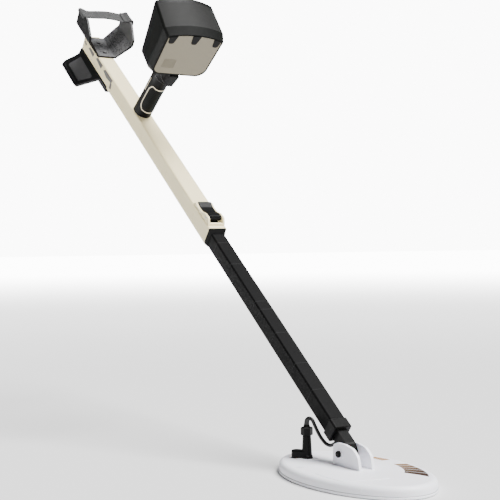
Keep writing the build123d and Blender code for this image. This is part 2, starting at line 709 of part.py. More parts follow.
POD_OUTER = pod_solid(0)
POD_INNER = pod_solid(POD_WALL)
BEZEL_DEPTH = 9.0
PANEL_RECESS = 1.4
PANEL_PROUD = 0.6
PANEL_SIZES = (51.2, 53.6, 2.2, 91.2, 8.4)
CLIP_PLACES = [(45.0, 77.0), (0.0, 79.5), (-44.5, 77.5)]
CLIP_OUTLINE = [(-5.0, 0), (5.0, 0), (9.5, 26), (-9.5, 26)]
GRILLE_X = 28.3
GRILLE_HEIGHT = 27.5
GRILLE_PITCH = 2.8
GRILLE_HOLE_R = 0.9
SPEAKER_R = 17.0
SOCKET_DEPTH = 38.0
SOCKET_HEIGHT = 24.0
SOCKET_R = 5.0
JACK_R = 3.2

with BuildPart() as pod_housing:
    add(POD_OUTER)
    add(POD_INNER, mode=Mode.SUBTRACT)
    add(behind(BEZEL_DEPTH), mode=Mode.SUBTRACT)
    with BuildSketch(pod_section(0)):
        add(crowned(*PANEL_SIZES))
    extrude(amount=PANEL_RECESS, mode=Mode.SUBTRACT)
    with BuildSketch(pod_section(0)):
        with Locations((GRILLE_X, GRILLE_HEIGHT)):
            Circle(SPEAKER_R - 3)
    extrude(amount=POD_WALL + 1, mode=Mode.SUBTRACT)
    with BuildSketch(pod_side(POD_MAX_HALF + 5)):
        with Locations((SOCKET_DEPTH, SOCKET_HEIGHT)):
            Circle(SOCKET_R)
    extrude(amount=-20, mode=Mode.SUBTRACT)
save(pod_housing.part, "pod_housing")


def clip_tabs(clearance):
    """Sketch of the three tabs that hold the panel's top edge, larger by clearance."""
    with BuildSketch() as tabs:
        with Locations(*CLIP_PLACES):
            add(outline(CLIP_OUTLINE, 4.4, 4.4, 0, 0))
        if clearance:
            offset(amount=clearance)
    return tabs.sketch


with BuildPart() as pod_panel:
    with BuildSketch(pod_section(-PANEL_PROUD)):
        add(crowned(*PANEL_SIZES))
        add(clip_tabs(0.25), mode=Mode.SUBTRACT)
    extrude(amount=PANEL_RECESS + PANEL_PROUD)
    with BuildSketch(pod_section(-PANEL_PROUD)):
        with Locations((GRILLE_X, GRILLE_HEIGHT)):
            with GridLocations(GRILLE_PITCH, GRILLE_PITCH, 9, 8):
                Circle(GRILLE_HOLE_R)
    extrude(amount=PANEL_RECESS + PANEL_PROUD, mode=Mode.SUBTRACT)
save(pod_panel.part, "pod_panel")

with BuildPart() as panel_clips:
    with BuildSketch(pod_section(-PANEL_PROUD - 0.5)):
        add(clip_tabs(0))
        add(crowned(*PANEL_SIZES), mode=Mode.INTERSECT)
    extrude(amount=PANEL_RECESS + PANEL_PROUD + 0.5)
save(panel_clips.part, "panel_clips")

with BuildPart() as speaker:
    with BuildSketch(pod_section(POD_WALL)):
        with Locations((GRILLE_X, GRILLE_HEIGHT)):
            Circle(SPEAKER_R)
    extrude(amount=3)
    with BuildSketch(pod_section(POD_WALL + 3)):
        with Locations((GRILLE_X, GRILLE_HEIGHT)):
            Circle(SPEAKER_R - 2)
    extrude(amount=8, taper=25)
save(speaker.part, "speaker")

WINDOW_WIDTH = 88.0
WINDOW_HEIGHT = 50.0
WINDOW_MID = 68.0
WINDOW_THICK = 1.6
BUTTON_HEIGHT = 24.0
BUTTONS = {"power_button": 33.0, "menu_button": 11.0, "plus_button": -11.0, "minus_button": -33.0}
BUTTON_SIZE = (15.0, 10.0)
BUTTON_GAP = 0.3
POD_SCREW_PLACES = [(49, 40), (-49, 40), (40, 6), (-36, 8)]
POD_SCREW_R = 1.6

with BuildPart() as pod_bezel:
    add(POD_OUTER)
    add(POD_INNER, mode=Mode.SUBTRACT)
    add(behind(BEZEL_DEPTH), mode=Mode.INTERSECT)
    with BuildSketch(face_plane(-POD_WALL - 1)):
        with Locations((0, WINDOW_MID)):
            RectangleRounded(WINDOW_WIDTH - 5, WINDOW_HEIGHT - 5, 3)
        for x in BUTTONS.values():
            with Locations((x, BUTTON_HEIGHT)):
                RectangleRounded(BUTTON_SIZE[0] + 2 * BUTTON_GAP,
                                 BUTTON_SIZE[1] + 2 * BUTTON_GAP, 4 + BUTTON_GAP)
    extrude(amount=POD_WALL + 2, mode=Mode.SUBTRACT)
    with BuildSketch(face_plane(-WINDOW_THICK)):
        with Locations((0, WINDOW_MID)):
            RectangleRounded(WINDOW_WIDTH, WINDOW_HEIGHT, 5)
    extrude(amount=WINDOW_THICK + 1, mode=Mode.SUBTRACT)
    with BuildSketch(face_plane(-POD_WALL - 1)):
        with Locations(*POD_SCREW_PLACES):
            Circle(POD_SCREW_R)
    extrude(amount=POD_WALL + 2, mode=Mode.SUBTRACT)
save(pod_bezel.part, "pod_bezel")

with BuildPart() as display_window:
    with BuildSketch(face_plane(-WINDOW_THICK)):
        with Locations((0, WINDOW_MID)):
            RectangleRounded(WINDOW_WIDTH, WINDOW_HEIGHT, 5)
    extrude(amount=WINDOW_THICK)
save(display_window.part, "display_window")

with BuildPart() as display_module:
    with BuildSketch(face_plane(-POD_WALL - 6)):
        with Locations((0, WINDOW_MID)):
            Rectangle(WINDOW_WIDTH - 8, WINDOW_HEIGHT - 8)
    extrude(amount=5.5)
save(display_module.part, "display_module")

BUTTON_BACK = 6.0
BUTTON_PROUD = 1.8
BUTTON_TRAVEL = 1.2
for label, x in BUTTONS.items():
    with BuildPart() as button:
        with BuildSketch(face_plane(-BUTTON_BACK)):
            with Locations((x, BUTTON_HEIGHT)):
                RectangleRounded(*BUTTON_SIZE, 4)
        extrude(amount=BUTTON_BACK + BUTTON_PROUD)
        fillet(button.faces().sort_by(Axis(FACE_ORIGIN, FACE_BACK))[-1].edges(), 0.7)
    save(button.part, label)

BOARD_OUT = -POD_WALL - 14
with BuildPart() as main_board:
    with BuildSketch(face_plane(BOARD_OUT)):
        with Locations((0, 52)):
            Rectangle(94, 78)
    extrude(amount=1.6)
    with BuildSketch(face_plane(BOARD_OUT + 1.6)):
        for x in BUTTONS.values():
            with Locations((x, BUTTON_HEIGHT)):
                Rectangle(6, 6)
    extrude(amount=-BOARD_OUT - 1.6 - BUTTON_BACK - BUTTON_TRAVEL - 0.4)
    with BuildSketch(face_plane(BOARD_OUT)):
        with Locations((-20, 60), (18, 66), (24, 40)):
            Rectangle(16, 12)
    extrude(amount=-2.4)
save(main_board.part, "main_board")

with BuildPart() as pod_screws:
    with BuildSketch(face_plane(0)):
        with Locations(*POD_SCREW_PLACES):
            Circle(3)
    extrude(amount=1.4)
    with BuildSketch(face_plane(0)):
        with Locations(*POD_SCREW_PLACES):
            Circle(POD_SCREW_R)
    extrude(amount=-8)
save(pod_screws.part, "pod_screws")

SOCKET_OUT = 60.5
with BuildPart() as headphone_socket:
    with BuildSketch(pod_side(SOCKET_OUT)):
        with Locations((SOCKET_DEPTH, SOCKET_HEIGHT)):
            Circle(SOCKET_R)
            Circle(JACK_R, mode=Mode.SUBTRACT)
    extrude(amount=-16)
save(headphone_socket.part, "headphone_socket")

# ---- Neck and trigger ----
TRIGGER_OUTLINE = [(-18, 117.5), (-24, 117.5), (-36, 114.5), (-39.5, 148), (-18, 141.5)]
TRIGGER_RADII = [1, 2, 3, 2, 1]
TRIGGER_FRONT = [(-6.6, 114), (6.6, 114), (9.4, 150), (-9.4, 150)]
TRIGGER_TRAVEL = 4.0
TRIGGER_GAP = 0.4
TRIGGER_REAR = -18.0
SWITCH_BACK = TRIGGER_REAR + TRIGGER_TRAVEL + TRIGGER_GAP
SWITCH_LOW = 119.0
SWITCH_SIZE = (9.6, 9.0, 16.0)
NECK_SECTIONS = [  # height, centre's place back, half depth, half width
    (NECK_START, 0, 21.8, 16.8),
    (118, -1, 22.8, 17.6),
    (160, -7.5, 32.0, 23.5),
]


def grip_front(back):
    """Plane square to the grip's back direction: its sketches are in (-y, height)."""
    return Plane(origin=GRIP_FOOT + GRIP_BACK * back, x_dir=-LEFT, z_dir=GRIP_BACK)


with BuildPart() as neck:
    for height, centre, half_depth, half_width in NECK_SECTIONS:
        with BuildSketch(grip_section(height)):
            with Locations((centre, 0)):
                Ellipse(half_depth, half_width)
    loft()
    add(POD_OUTER, mode=Mode.SUBTRACT)
    with BuildSketch(pod_section(0)):
        Rectangle(200, 200)
    extrude(amount=-80, mode=Mode.SUBTRACT)
    with BuildSketch(grip_front(SWITCH_BACK)):
        add(outline(TRIGGER_FRONT, 0))
        offset(amount=TRIGGER_GAP)
    extrude(amount=-60, mode=Mode.SUBTRACT)
    with BuildSketch(grip_section(SWITCH_LOW)):
        with Locations((SWITCH_BACK + SWITCH_SIZE[0] / 2, 0)):
            Rectangle(SWITCH_SIZE[0], SWITCH_SIZE[1])
    extrude(amount=SWITCH_SIZE[2], mode=Mode.SUBTRACT)
    with BuildSketch(grip_section(NECK_START - 6)):
        Ellipse(CORE_DEPTH / 2, CORE_WIDTH / 2)
    extrude(amount=8, mode=Mode.SUBTRACT)
save(neck.part, "neck")

with BuildPart() as pinpoint_trigger:
    with BuildSketch(grip_side()):
        add(outline(TRIGGER_OUTLINE, *TRIGGER_RADII))
    extrude(amount=20, both=True)
    with BuildSketch(grip_front(0)):
        add(outline(TRIGGER_FRONT, 0))
    extrude(amount=-60, mode=Mode.INTERSECT)
save(pinpoint_trigger.part, "pinpoint_trigger")

with BuildPart() as trigger_switch:
    with BuildSketch(grip_section(SWITCH_LOW)):
        with Locations((SWITCH_BACK + SWITCH_SIZE[0] / 2, 0)):
            Rectangle(SWITCH_SIZE[0], SWITCH_SIZE[1])
    extrude(amount=SWITCH_SIZE[2])
save(trigger_switch.part, "trigger_switch")

# ---- Arm cuff and strap ----
CUFF_SECTION = [(20.5, SHELL_TOP_U), (50, 65.5), (52, 101)]
CUFF_SIDE = [(CUFF_FRONT, 25), (CUFF_REAR, 25), (CUFF_REAR + 2, 62), (1181, 106), (1138, 106),
             (1116, 91), (1098, 79), (1097, 60)]
SLOT_PLACES = [(25.5, 43.7), (33.0, 53.0)]  # y and u of the grooves in the slanted panels
SLOT_START = 1112.0
SLOT_R = 1.1
STRAP_THICK = 2.2
STRAP_FRONT = 1139.0
STRAP_REAR = 1179.0
STRAP_LINE = [(-55, 86), (-55, 103.8), (-44, 103.4), (0, 107.5), (44, 103.4), (55, 103.8), (55, 95)]

with BuildPart() as arm_cuff:
    outer = [(-x, u) for x, u in reversed(CUFF_SECTION)] + CUFF_SECTION
    inner = [(x * (1 - CUFF_WALL / 50), u + CUFF_WALL) for x, u in outer]
    with BuildSketch(shaft_section(CUFF_FRONT - 10)):
        add(outline(outer, 0, 4, 2, 2, 4, 0))
        add(outline(inner, 0, 3, 2, 2, 3, 0), mode=Mode.SUBTRACT)
    extrude(amount=CUFF_REAR - CUFF_FRONT + 20)
    with BuildSketch(shaft_side()):
        add(outline(CUFF_SIDE, 0, 0, 6, 8, 10, 12, 8, 5))
    extrude(amount=70, both=True, mode=Mode.INTERSECT)
    with BuildSketch(shaft_section(SLOT_START)):
        with Locations(*[(side * y, u) for side in (-1, 1) for y, u in SLOT_PLACES]):
            Circle(SLOT_R)
    extrude(amount=CUFF_REAR - 4 - SLOT_START, mode=Mode.SUBTRACT)
    with BuildSketch(shaft_top(SHELL_TOP_U - 1)):
        with Locations(*[(CUFF_REAR - 4, side * y) for side in (-1, 1) for y, u in SLOT_PLACES]):
            Circle(SLOT_R + 0.5)
        with Locations(*[(station, 0) for station in CUFF_SCREW_STATIONS]):
            Circle(SCREW_R)
    extrude(amount=40, mode=Mode.SUBTRACT)
save(arm_cuff.part, "arm_cuff")

with BuildPart() as cuff_screws:
    for station in CUFF_SCREW_STATIONS:
        with BuildSketch(shaft_top(SHELL_TOP_U + CUFF_WALL)):
            with Locations((station, 0)):
                Circle(4.2)
        extrude(amount=2.2)
        with BuildSketch(shaft_top(SHELL_TOP_U + CUFF_WALL)):
            with Locations((station, 0)):
                Circle(SCREW_R)
        extrude(amount=-CUFF_WALL - SHELL_SKIN)
save(cuff_screws.part, "cuff_screws")

with BuildPart() as cuff_strap:
    with BuildSketch(shaft_section(STRAP_FRONT)):
        add(outline(STRAP_LINE, 0, 3, 12, 60, 12, 3, 0))
        add(outline([(x * (1 - STRAP_THICK / 56), u - STRAP_THICK) for x, u in STRAP_LINE],
                    0, 1, 14, 60, 14, 1, 0), mode=Mode.SUBTRACT)
    extrude(amount=STRAP_REAR - STRAP_FRONT)
save(cuff_strap.part, "cuff_strap")

# ---- Stand ----
LEG_ROOT = (-15.0, -4.0)  # y and u of the near leg's root line
LEG_TIP = (-50.0, -47.5)
LEG_THICK = 6.0
LEG_LENGTH = 54.5
LEG_OUTLINE = [(1062, -4), (STAND_END + 6, -4), (1188, 10), (1202, 44), (1198, LEG_LENGTH),
               (1107, LEG_LENGTH), (1073, 5)]
LEG_RADII = [0, 0, 9, 6, 5, 11, 10]
RECESS_OUTLINE = [(1087, 11), (1174, 9), (1184, 41), (1111, 42)]
TIP_GROOVE = (1152.0, 47.5)  # s and the distance down the leg
STAND_SHELL = 13.6


def leg_plane(lift=0.0):
    """Plane of the near leg's outer face: its sketches are in (s, distance down the leg)."""
    fall = (LEFT * (LEG_TIP[0] - LEG_ROOT[0]) + ABOVE * (LEG_TIP[1] - LEG_ROOT[1])).normalized()
    facing = ALONG.cross(fall)
    return Plane(origin=on_shaft(0, LEG_ROOT[1], LEG_ROOT[0]) + facing * lift,
                 x_dir=ALONG, z_dir=facing)


with BuildPart() as stand:
    with BuildSketch(leg_plane(0)):
        add(outline(LEG_OUTLINE, *LEG_RADII))
    extrude(amount=LEG_THICK)
    fillet(stand.faces().sort_by(Axis((0, 0, 0), leg_plane().z_dir))[-1].edges(), 1.2)
    with BuildSketch(leg_plane(LEG_THICK)):
        add(outline(RECESS_OUTLINE, 4))
    extrude(amount=-1.2, mode=Mode.SUBTRACT)
    with BuildSketch(leg_plane(LEG_THICK)):
        with Locations(TIP_GROOVE):
            Rectangle(78, 1.6)
    extrude(amount=-0.8, mode=Mode.SUBTRACT)
    mirror(about=Plane.XZ)
    with BuildSketch(shaft_section(STAND_START)):
        with Locations((0, SHELL_BOTTOM_U + 2.8)):
            RectangleRounded(SHELL_WIDTH + 3.2, STAND_SHELL, 3)
    extrude(amount=STAND_END - STAND_START)
    with BuildSketch(shaft_section(STAND_START - 10)):
        add(outline([(-SHELL_WIDTH / 2, SHELL_BOTTOM_U), (SHELL_WIDTH / 2, SHELL_BOTTOM_U),
                     (SHELL_WIDTH / 2, 50), (-SHELL_WIDTH / 2, 50)],
                    BOTTOM_CORNER_R, BOTTOM_CORNER_R, 0, 0))
    extrude(amount=STAND_END - STAND_START + 20, mode=Mode.SUBTRACT)
    with BuildSketch(shaft_top(-20)):
        with Locations(*[(station, 0) for station in STAND_SCREW_STATIONS]):
            Circle(SCREW_R)
    extrude(amount=20, mode=Mode.SUBTRACT)
save(stand.part, "stand")

STAND_FACE = -10.0  # u of the stand's underside
with BuildPart() as stand_screws:
    for station in STAND_SCREW_STATIONS:
        with BuildSketch(shaft_top(STAND_FACE)):
            with Locations((station, 0)):
                Circle(2 * SCREW_R)
        extrude(amount=-2.2)
        with BuildSketch(shaft_top(STAND_FACE)):
            with Locations((station, 0)):
                Circle(SCREW_R)
        extrude(amount=SHELL_BOTTOM_U + SHELL_SKIN - STAND_FACE)
save(stand_screws.part, "stand_screws")

# ---- Battery drawer in the rear of the shaft ----
CARRIER_START = 1066.0
CARRIER_END = SHELL_END - 8
CARRIER_HALF = 15.2
CARRIER_LOW = -2.6
CARRIER_HIGH = 27.5
CELL_R = 7.15
CELL_LENGTH = 50.0
CELL_PITCH = 14.9
CELL_LOW_U = 5.2
CELL_TIP_R = 2.6
CAP_THICK = 5.0
DRAWER_GAP = 0.3


def cell_places():
    """The places of the cells in a section across the carrier."""
    return [(side * CELL_PITCH / 2, CELL_LOW_U + row * CELL_PITCH) for side in (-1, 1)
            for row in (0, 1)]


with BuildPart() as battery_carrier:
    with BuildSketch(shaft_section(CARRIER_START)):
        with Locations((0, (CARRIER_LOW + CARRIER_HIGH) / 2)):
            RectangleRounded(2 * CARRIER_HALF, CARRIER_HIGH - CARRIER_LOW, 6)
    extrude(amount=CARRIER_END - CARRIER_START)
    with BuildSketch(shaft_section(CARRIER_START + 4)):
        with Locations(*cell_places()):
            Circle(CELL_R + 0.1)
        with Locations((0, CELL_LOW_U + CELL_PITCH * 1.5)):
            Rectangle(2 * CELL_PITCH, 2 * CELL_PITCH)
    extrude(amount=2 * CELL_LENGTH + 2, mode=Mode.SUBTRACT)
save(battery_carrier.part, "battery_carrier")

with BuildPart() as battery_cells:
    for row in (0, 1):
        with BuildSketch(shaft_section(CARRIER_START + 4.5 + row * (CELL_LENGTH + 1))):
            with Locations(*cell_places()):
                Circle(CELL_R)
        extrude(amount=CELL_LENGTH - 1.2)
        with BuildSketch(shaft_section(CARRIER_START + 4.5 + row * (CELL_LENGTH + 1))):
            with Locations(*cell_places()):
                Circle(CELL_TIP_R)
        extrude(amount=CELL_LENGTH)
save(battery_cells.part, "battery_cells")

with BuildPart() as end_cap:
    with BuildSketch(shaft_section(CARRIER_END)):
        shell_section(SHELL_SKIN + DRAWER_GAP)
    extrude(amount=SHELL_END - CARRIER_END)
    with BuildSketch(shaft_section(SHELL_END)):
        shell_section(0.3)
    extrude(amount=CAP_THICK)
    fillet(end_cap.faces().sort_by(Axis((0, 0, 0), ALONG))[-1].edges(), 1.6)
    with BuildSketch(shaft_section(SHELL_END + CAP_THICK)):
        with Locations((0, SHELL_MID_U)):
            RectangleRounded(20, 7, 2.5)
    extrude(amount=-2.5, mode=Mode.SUBTRACT)
save(end_cap.part, "end_cap")
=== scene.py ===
"""Looks of a metal detector: camera, cable, materials, strap, markings and small trim.

Places are written in millimetres, in the CAD's frame: +X forward, +Y left, +Z up, with the origin
on the ground under the coil's pivot. Meshes and curves are made in metres.
"""

import json
from math import cos, pi, radians, sin

import bmesh
import bpy
from mathutils import Matrix, Vector


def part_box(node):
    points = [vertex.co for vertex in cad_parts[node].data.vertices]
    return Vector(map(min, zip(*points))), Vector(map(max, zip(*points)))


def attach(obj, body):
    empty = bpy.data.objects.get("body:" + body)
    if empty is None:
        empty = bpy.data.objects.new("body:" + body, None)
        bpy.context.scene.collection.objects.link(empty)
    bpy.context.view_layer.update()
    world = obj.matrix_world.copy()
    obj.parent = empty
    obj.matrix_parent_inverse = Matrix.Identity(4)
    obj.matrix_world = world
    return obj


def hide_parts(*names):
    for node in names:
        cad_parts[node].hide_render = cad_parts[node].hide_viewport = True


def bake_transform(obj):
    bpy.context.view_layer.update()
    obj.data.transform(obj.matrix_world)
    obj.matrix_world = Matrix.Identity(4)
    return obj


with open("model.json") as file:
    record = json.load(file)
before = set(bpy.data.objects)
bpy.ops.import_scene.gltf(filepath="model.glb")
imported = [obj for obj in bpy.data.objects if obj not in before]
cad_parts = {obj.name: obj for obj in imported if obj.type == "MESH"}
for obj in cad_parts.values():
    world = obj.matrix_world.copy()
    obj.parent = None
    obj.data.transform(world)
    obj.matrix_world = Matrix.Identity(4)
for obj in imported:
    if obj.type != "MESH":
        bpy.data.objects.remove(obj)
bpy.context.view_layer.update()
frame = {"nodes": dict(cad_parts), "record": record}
MM = 0.001

# ---- Frames, as in the part's source ----
SHAFT_PITCH = radians(37.9)
PIVOT = Vector((0, 0, 34.7))
LEFT = Vector((0, 1, 0))
ALONG = Vector((-cos(SHAFT_PITCH), 0, sin(SHAFT_PITCH)))
ABOVE = Vector((sin(SHAFT_PITCH), 0, cos(SHAFT_PITCH)))
COIL_CENTRE = Vector((18, 0, 0))
COIL_HALF = (150.0, 89.0)
COIL_TOP = 17.6
GRIP_LEAN = 18.0
POD_LEAN = 17.1
FACE_TILT = 12.5  # how much less the pod's rear face leans than the pod
STRAP_FRONT = 1138.5  # the arm strap's edges, as distances along the shaft
STRAP_REAR = 1179.5


def on_shaft(s, u, y=0.0):
    """The point at s along the shaft, u above the pivot's line and y to the left."""
    return PIVOT + ALONG * s + ABOVE * u + LEFT * y


def leaning(lean):
    """The back and up directions of a frame that leans forward from the shaft's normal."""
    angle = radians(lean)
    back = ALONG * cos(angle) + ABOVE * sin(angle)
    up = ABOVE * cos(angle) - ALONG * sin(angle)
    return back, up


GRIP_BACK, GRIP_UP = leaning(GRIP_LEAN)
GRIP_FOOT = on_shaft(886, 31.5)
POD_BACK, POD_UP = leaning(POD_LEAN)
POD_ORIGIN = on_shaft(798, 167)
FACE_BACK, FACE_UP = leaning(POD_LEAN - FACE_TILT)
FACE_ORIGIN = POD_ORIGIN + POD_BACK * 62 - POD_UP * 6


def on_grip(back, height, y):
    """A point of the grip's own frame."""
    return GRIP_FOOT + GRIP_BACK * back + GRIP_UP * height + LEFT * y


def on_coil(angle, reach, z):
    """A point over the coil: angle in degrees from the front, reach as a share of its half size."""
    turn = radians(angle)
    out = Vector((COIL_HALF[0] * cos(turn), COIL_HALF[1] * sin(turn), 0)) * reach
    return COIL_CENTRE + out + Vector((0, 0, z))


# ---- Camera ----
CAMERA_PLACE = Vector((1.30912, -0.94459, 0.33732))
CAMERA_AZIMUTH = radians(59.11)
CAMERA_HEIGHT_ANGLE = radians(0.22)
CAMERA_ROLL = radians(-0.60)
CAMERA_LENS = 79.8
SENSOR_WIDTH = 36.0


def make_camera():
    """The camera, level and low, in front and to the right of the object."""
    data = bpy.data.cameras.new("camera")
    data.lens = CAMERA_LENS
    data.sensor_width = SENSOR_WIDTH
    camera = bpy.data.objects.new("camera", data)
    bpy.context.scene.collection.objects.link(camera)
    flat = cos(CAMERA_HEIGHT_ANGLE)
    back = Vector((sin(CAMERA_AZIMUTH) * flat, -cos(CAMERA_AZIMUTH) * flat,
                   sin(CAMERA_HEIGHT_ANGLE)))
    right = Vector((cos(CAMERA_AZIMUTH), sin(CAMERA_AZIMUTH), 0))
    facing = Matrix((right, back.cross(right), back)).transposed()
    turned = facing @ Matrix.Rotation(CAMERA_ROLL, 3, "Z")
    camera.matrix_world = Matrix.Translation(CAMERA_PLACE) @ turned.to_4x4()
    bpy.context.scene.camera = camera


make_camera()

# ---- Mesh helpers ----


def add_mesh(name, points, faces, smooth=True):
    """A mesh object from points in millimetres."""
    data = bpy.data.meshes.new(name)
    data.from_pydata([Vector(point) * MM for point in points], [], faces)
    data.validate()
    piece = bpy.data.objects.new(name, data)
    bpy.context.scene.collection.objects.link(piece)
    data.polygons.foreach_set("use_smooth", [smooth] * len(data.polygons))
    return piece


def recalculate(piece):
    """Point every face of a closed piece outwards."""
    shape = bmesh.new()
    shape.from_mesh(piece.data)
    bmesh.ops.recalc_face_normals(shape, faces=shape.faces)
    shape.to_mesh(piece.data)
    shape.free()


def rings_along(path, radius, sides):
    """Rings of points round a path, in millimetres. The radius is a number or a function of the
    share of the path's length."""
    path = [Vector(point) for point in path]
    last = len(path) - 1
    points = []
    guide = None
    for step, here in enumerate(path):
        heading = (path[min(step + 1, last)] - path[max(step - 1, 0)]).normalized()
        if guide is None:
            guide = heading.orthogonal().normalized()
        guide = (guide - heading * guide.dot(heading)).normalized()
        across = heading.cross(guide)
        size = radius(step / last) if callable(radius) else radius
        for side in range(sides):
            turn = 2 * pi * side / sides
            points.append(here + (guide * cos(turn) + across * sin(turn)) * size)
    return points


def tube_faces(first, count, sides):
    """The faces of a closed tube of so many rings, whose points start at first."""
    faces = []
    for step in range(count - 1):
        low = first + step * sides
        for side in range(sides):
            following = (side + 1) % sides
            faces.append((low + side, low + following, low + sides + following, low + sides + side))
    end = first + (count - 1) * sides
    faces.append(tuple(reversed(range(first, first + sides))))
    faces.append(tuple(range(end, end + sides)))
    return faces


def tubes(name, paths, radius, sides):
    """Closed tubes along paths of points, in one piece."""
    points, faces = [], []
    for path in paths:
        faces += tube_faces(len(points), len(path), sides)
        points += rings_along(path, radius, sides)
    piece = add_mesh(name, points, faces)
    recalculate(piece)
    return piece


def plates(name, outlines, rise, sink):
    """Thin plates in one piece: outlines on a surface, thickened along rise and sunk a little."""
    points, faces = [], []
    for outline in outlines:
        first = len(points)
        count = len(outline)
        base = [Vector(point) - rise.normalized() * sink for point in outline]
        points += base + [point + rise for point in base]
        faces.append(tuple(reversed(range(first, first + count))))
        faces.append(tuple(range(first + count, first + 2 * count)))
        for corner in range(count):
            here, following = first + corner, first + (corner + 1) % count
            faces.append((here, following, count + following, count + here))
    piece = add_mesh(name, points, faces, smooth=False)
    recalculate(piece)
    return piece


def on_surface(node, point, out=0.0):
    """The point of a CAD node's surface nearest to a point, moved outwards."""
    _, place, normal, _ = frame["nodes"][node].closest_point_on_mesh(Vector(point) * MM)
    return place / MM + normal * out


def finish_piece(piece, slot, body, material=None):
    """Give a new piece the material of a record slot, or its own, and its body."""
    piece.data.materials.clear()
    piece.data.materials.append(material or MATERIALS[slot])
    if body:
        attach(piece, body)
    return piece


# ---- Materials ----
# A mix node's sockets: its two values, its two colours, and the colour that comes out.
VALUE_FIRST = 2
VALUE_SECOND = 3
COLOUR_FIRST = 6
COLOUR_SECOND = 7
COLOUR_OUT = 2
MM_PER_METRE = 1000.0


class Finish:
    """A procedural material whose nodes read the piece's own coordinates, in millimetres."""

    def __init__(self, name, colour, roughness, **settings):
        self.material = bpy.data.materials.new(name)
        self.material.use_nodes = True
        self.tree = self.material.node_tree
        self.shader = self.tree.nodes["Principled BSDF"]
        self.shader.inputs["Base Color"].default_value = (*colour, 1)
        self.shader.inputs["Roughness"].default_value = roughness
        for socket, value in settings.items():
            self.shader.inputs[socket.replace("_", " ")].default_value = value
        self.coordinates = self.node("ShaderNodeTexCoord")
        self.place = self.node("ShaderNodeVectorMath",
                               {0: self.coordinates.outputs["Object"], "Scale": MM_PER_METRE},
                               operation="SCALE").outputs[0]
        self.normal = None

    def node(self, kind, inputs=None, **settings):
        """A new node, with its settings and with values or sockets fed to its inputs."""
        made = self.tree.nodes.new(kind)
        for key, value in settings.items():
            setattr(made, key, value)
        for key, value in (inputs or {}).items():
            if isinstance(value, bpy.types.NodeSocket):
                self.tree.links.new(value, made.inputs[key])
            else:
                made.inputs[key].default_value = value
        return made

    def math(self, operation, first, second=0.0):
        """One step of arithmetic on two values."""
        return self.node("ShaderNodeMath", {0: first, 1: second}, operation=operation).outputs[0]

    def along(self, origin, axis):
        """How far the surface point lies from origin along an axis, in millimetres."""
        moved = self.node("ShaderNodeVectorMath", {0: self.place, 1: origin}, operation="SUBTRACT")
        return self.node("ShaderNodeVectorMath", {0: moved.outputs[0], 1: axis},
                         operation="DOT_PRODUCT").outputs["Value"]

    def distance(self, origin):
        """How far the surface point lies from origin in any direction, in millimetres."""
        moved = self.node("ShaderNodeVectorMath", {0: self.place, 1: origin}, operation="SUBTRACT")
        return self.node("ShaderNodeVectorMath", {0: moved.outputs[0]},
                         operation="LENGTH").outputs["Value"]

    def facing(self, axis):
        """How squarely the surface faces an axis, from -1 to 1."""
        return self.node("ShaderNodeVectorMath", {0: self.coordinates.outputs["Normal"], 1: axis},
                         operation="DOT_PRODUCT").outputs["Value"]

    def step(self, value, low, high):
        """0 below low, 1 above high, smooth between them."""
        return self.node("ShaderNodeMapRange", {"Value": value, "From Min": low, "From Max": high},
                         interpolation_type="SMOOTHSTEP").outputs["Result"]

    def between(self, value, low, high, soft):
        """1 where low < value < high, with edges that are soft over a distance."""
        rise = self.step(value, low - soft, low + soft)
        fall = self.step(value, high + soft, high - soft)
        return self.math("MULTIPLY", rise, fall)

    def noise(self, size, detail, stretch=(1, 1, 1)):
        """Cloudy noise from 0 to 1, with lumps of about a size in millimetres."""
        place = self.node("ShaderNodeVectorMath",
                          {0: self.place, 1: tuple(share / size for share in stretch)},
                          operation="MULTIPLY").outputs[0]
        return self.node("ShaderNodeTexNoise",
                         {"Vector": place, "Scale": 1.0, "Detail": detail}).outputs[0]

    def pebbles(self, size):
        """Rounded cells of about a size in millimetres: 0 at a cell's middle."""
        return self.node("ShaderNodeTexVoronoi", {"Vector": self.place, "Scale": 1 / size},
                         feature="SMOOTH_F1").outputs["Distance"]

    def waves(self, direction, pitch):
        """A sine from 0 to 1 along a direction, with a pitch in millimetres."""
        reach = self.along((0, 0, 0), direction)
        wave = self.math("SINE", self.math("MULTIPLY", reach, 2 * pi / pitch))
        return self.math("ADD", self.math("MULTIPLY", wave, 0.5), 0.5)

    def mix(self, share, first, second):
        """A colour between two colours or colour sockets."""
        first = first if isinstance(first, bpy.types.NodeSocket) else (*first, 1)
        second = second if isinstance(second, bpy.types.NodeSocket) else (*second, 1)
        return self.node("ShaderNodeMix",
                         {"Factor": share, COLOUR_FIRST: first, COLOUR_SECOND: second},
                         data_type="RGBA").outputs[COLOUR_OUT]

    def colour(self, socket):
        """Feed the base colour."""
        self.tree.links.new(socket, self.shader.inputs["Base Color"])

    def rough(self, socket, low, high):
        """Let the roughness vary between two values."""
        value = self.node("ShaderNodeMapRange", {"Value": socket, "To Min": low, "To Max": high})
        self.tree.links.new(value.outputs["Result"], self.shader.inputs["Roughness"])

    def bump(self, height, depth):
        """Add relief: a height from 0 to 1 that stands for a depth in millimetres."""
        inputs = {"Height": height, "Distance": depth * MM, "Strength": 1.0}
        if self.normal:
            inputs["Normal"] = self.normal
        self.normal = self.node("ShaderNodeBump", inputs).outputs["Normal"]
        self.tree.links.new(self.normal, self.shader.inputs["Normal"])


def scaled(colour, share):
    """A colour made darker or lighter by a share."""
    return tuple(min(1.0, value * share) for value in colour)


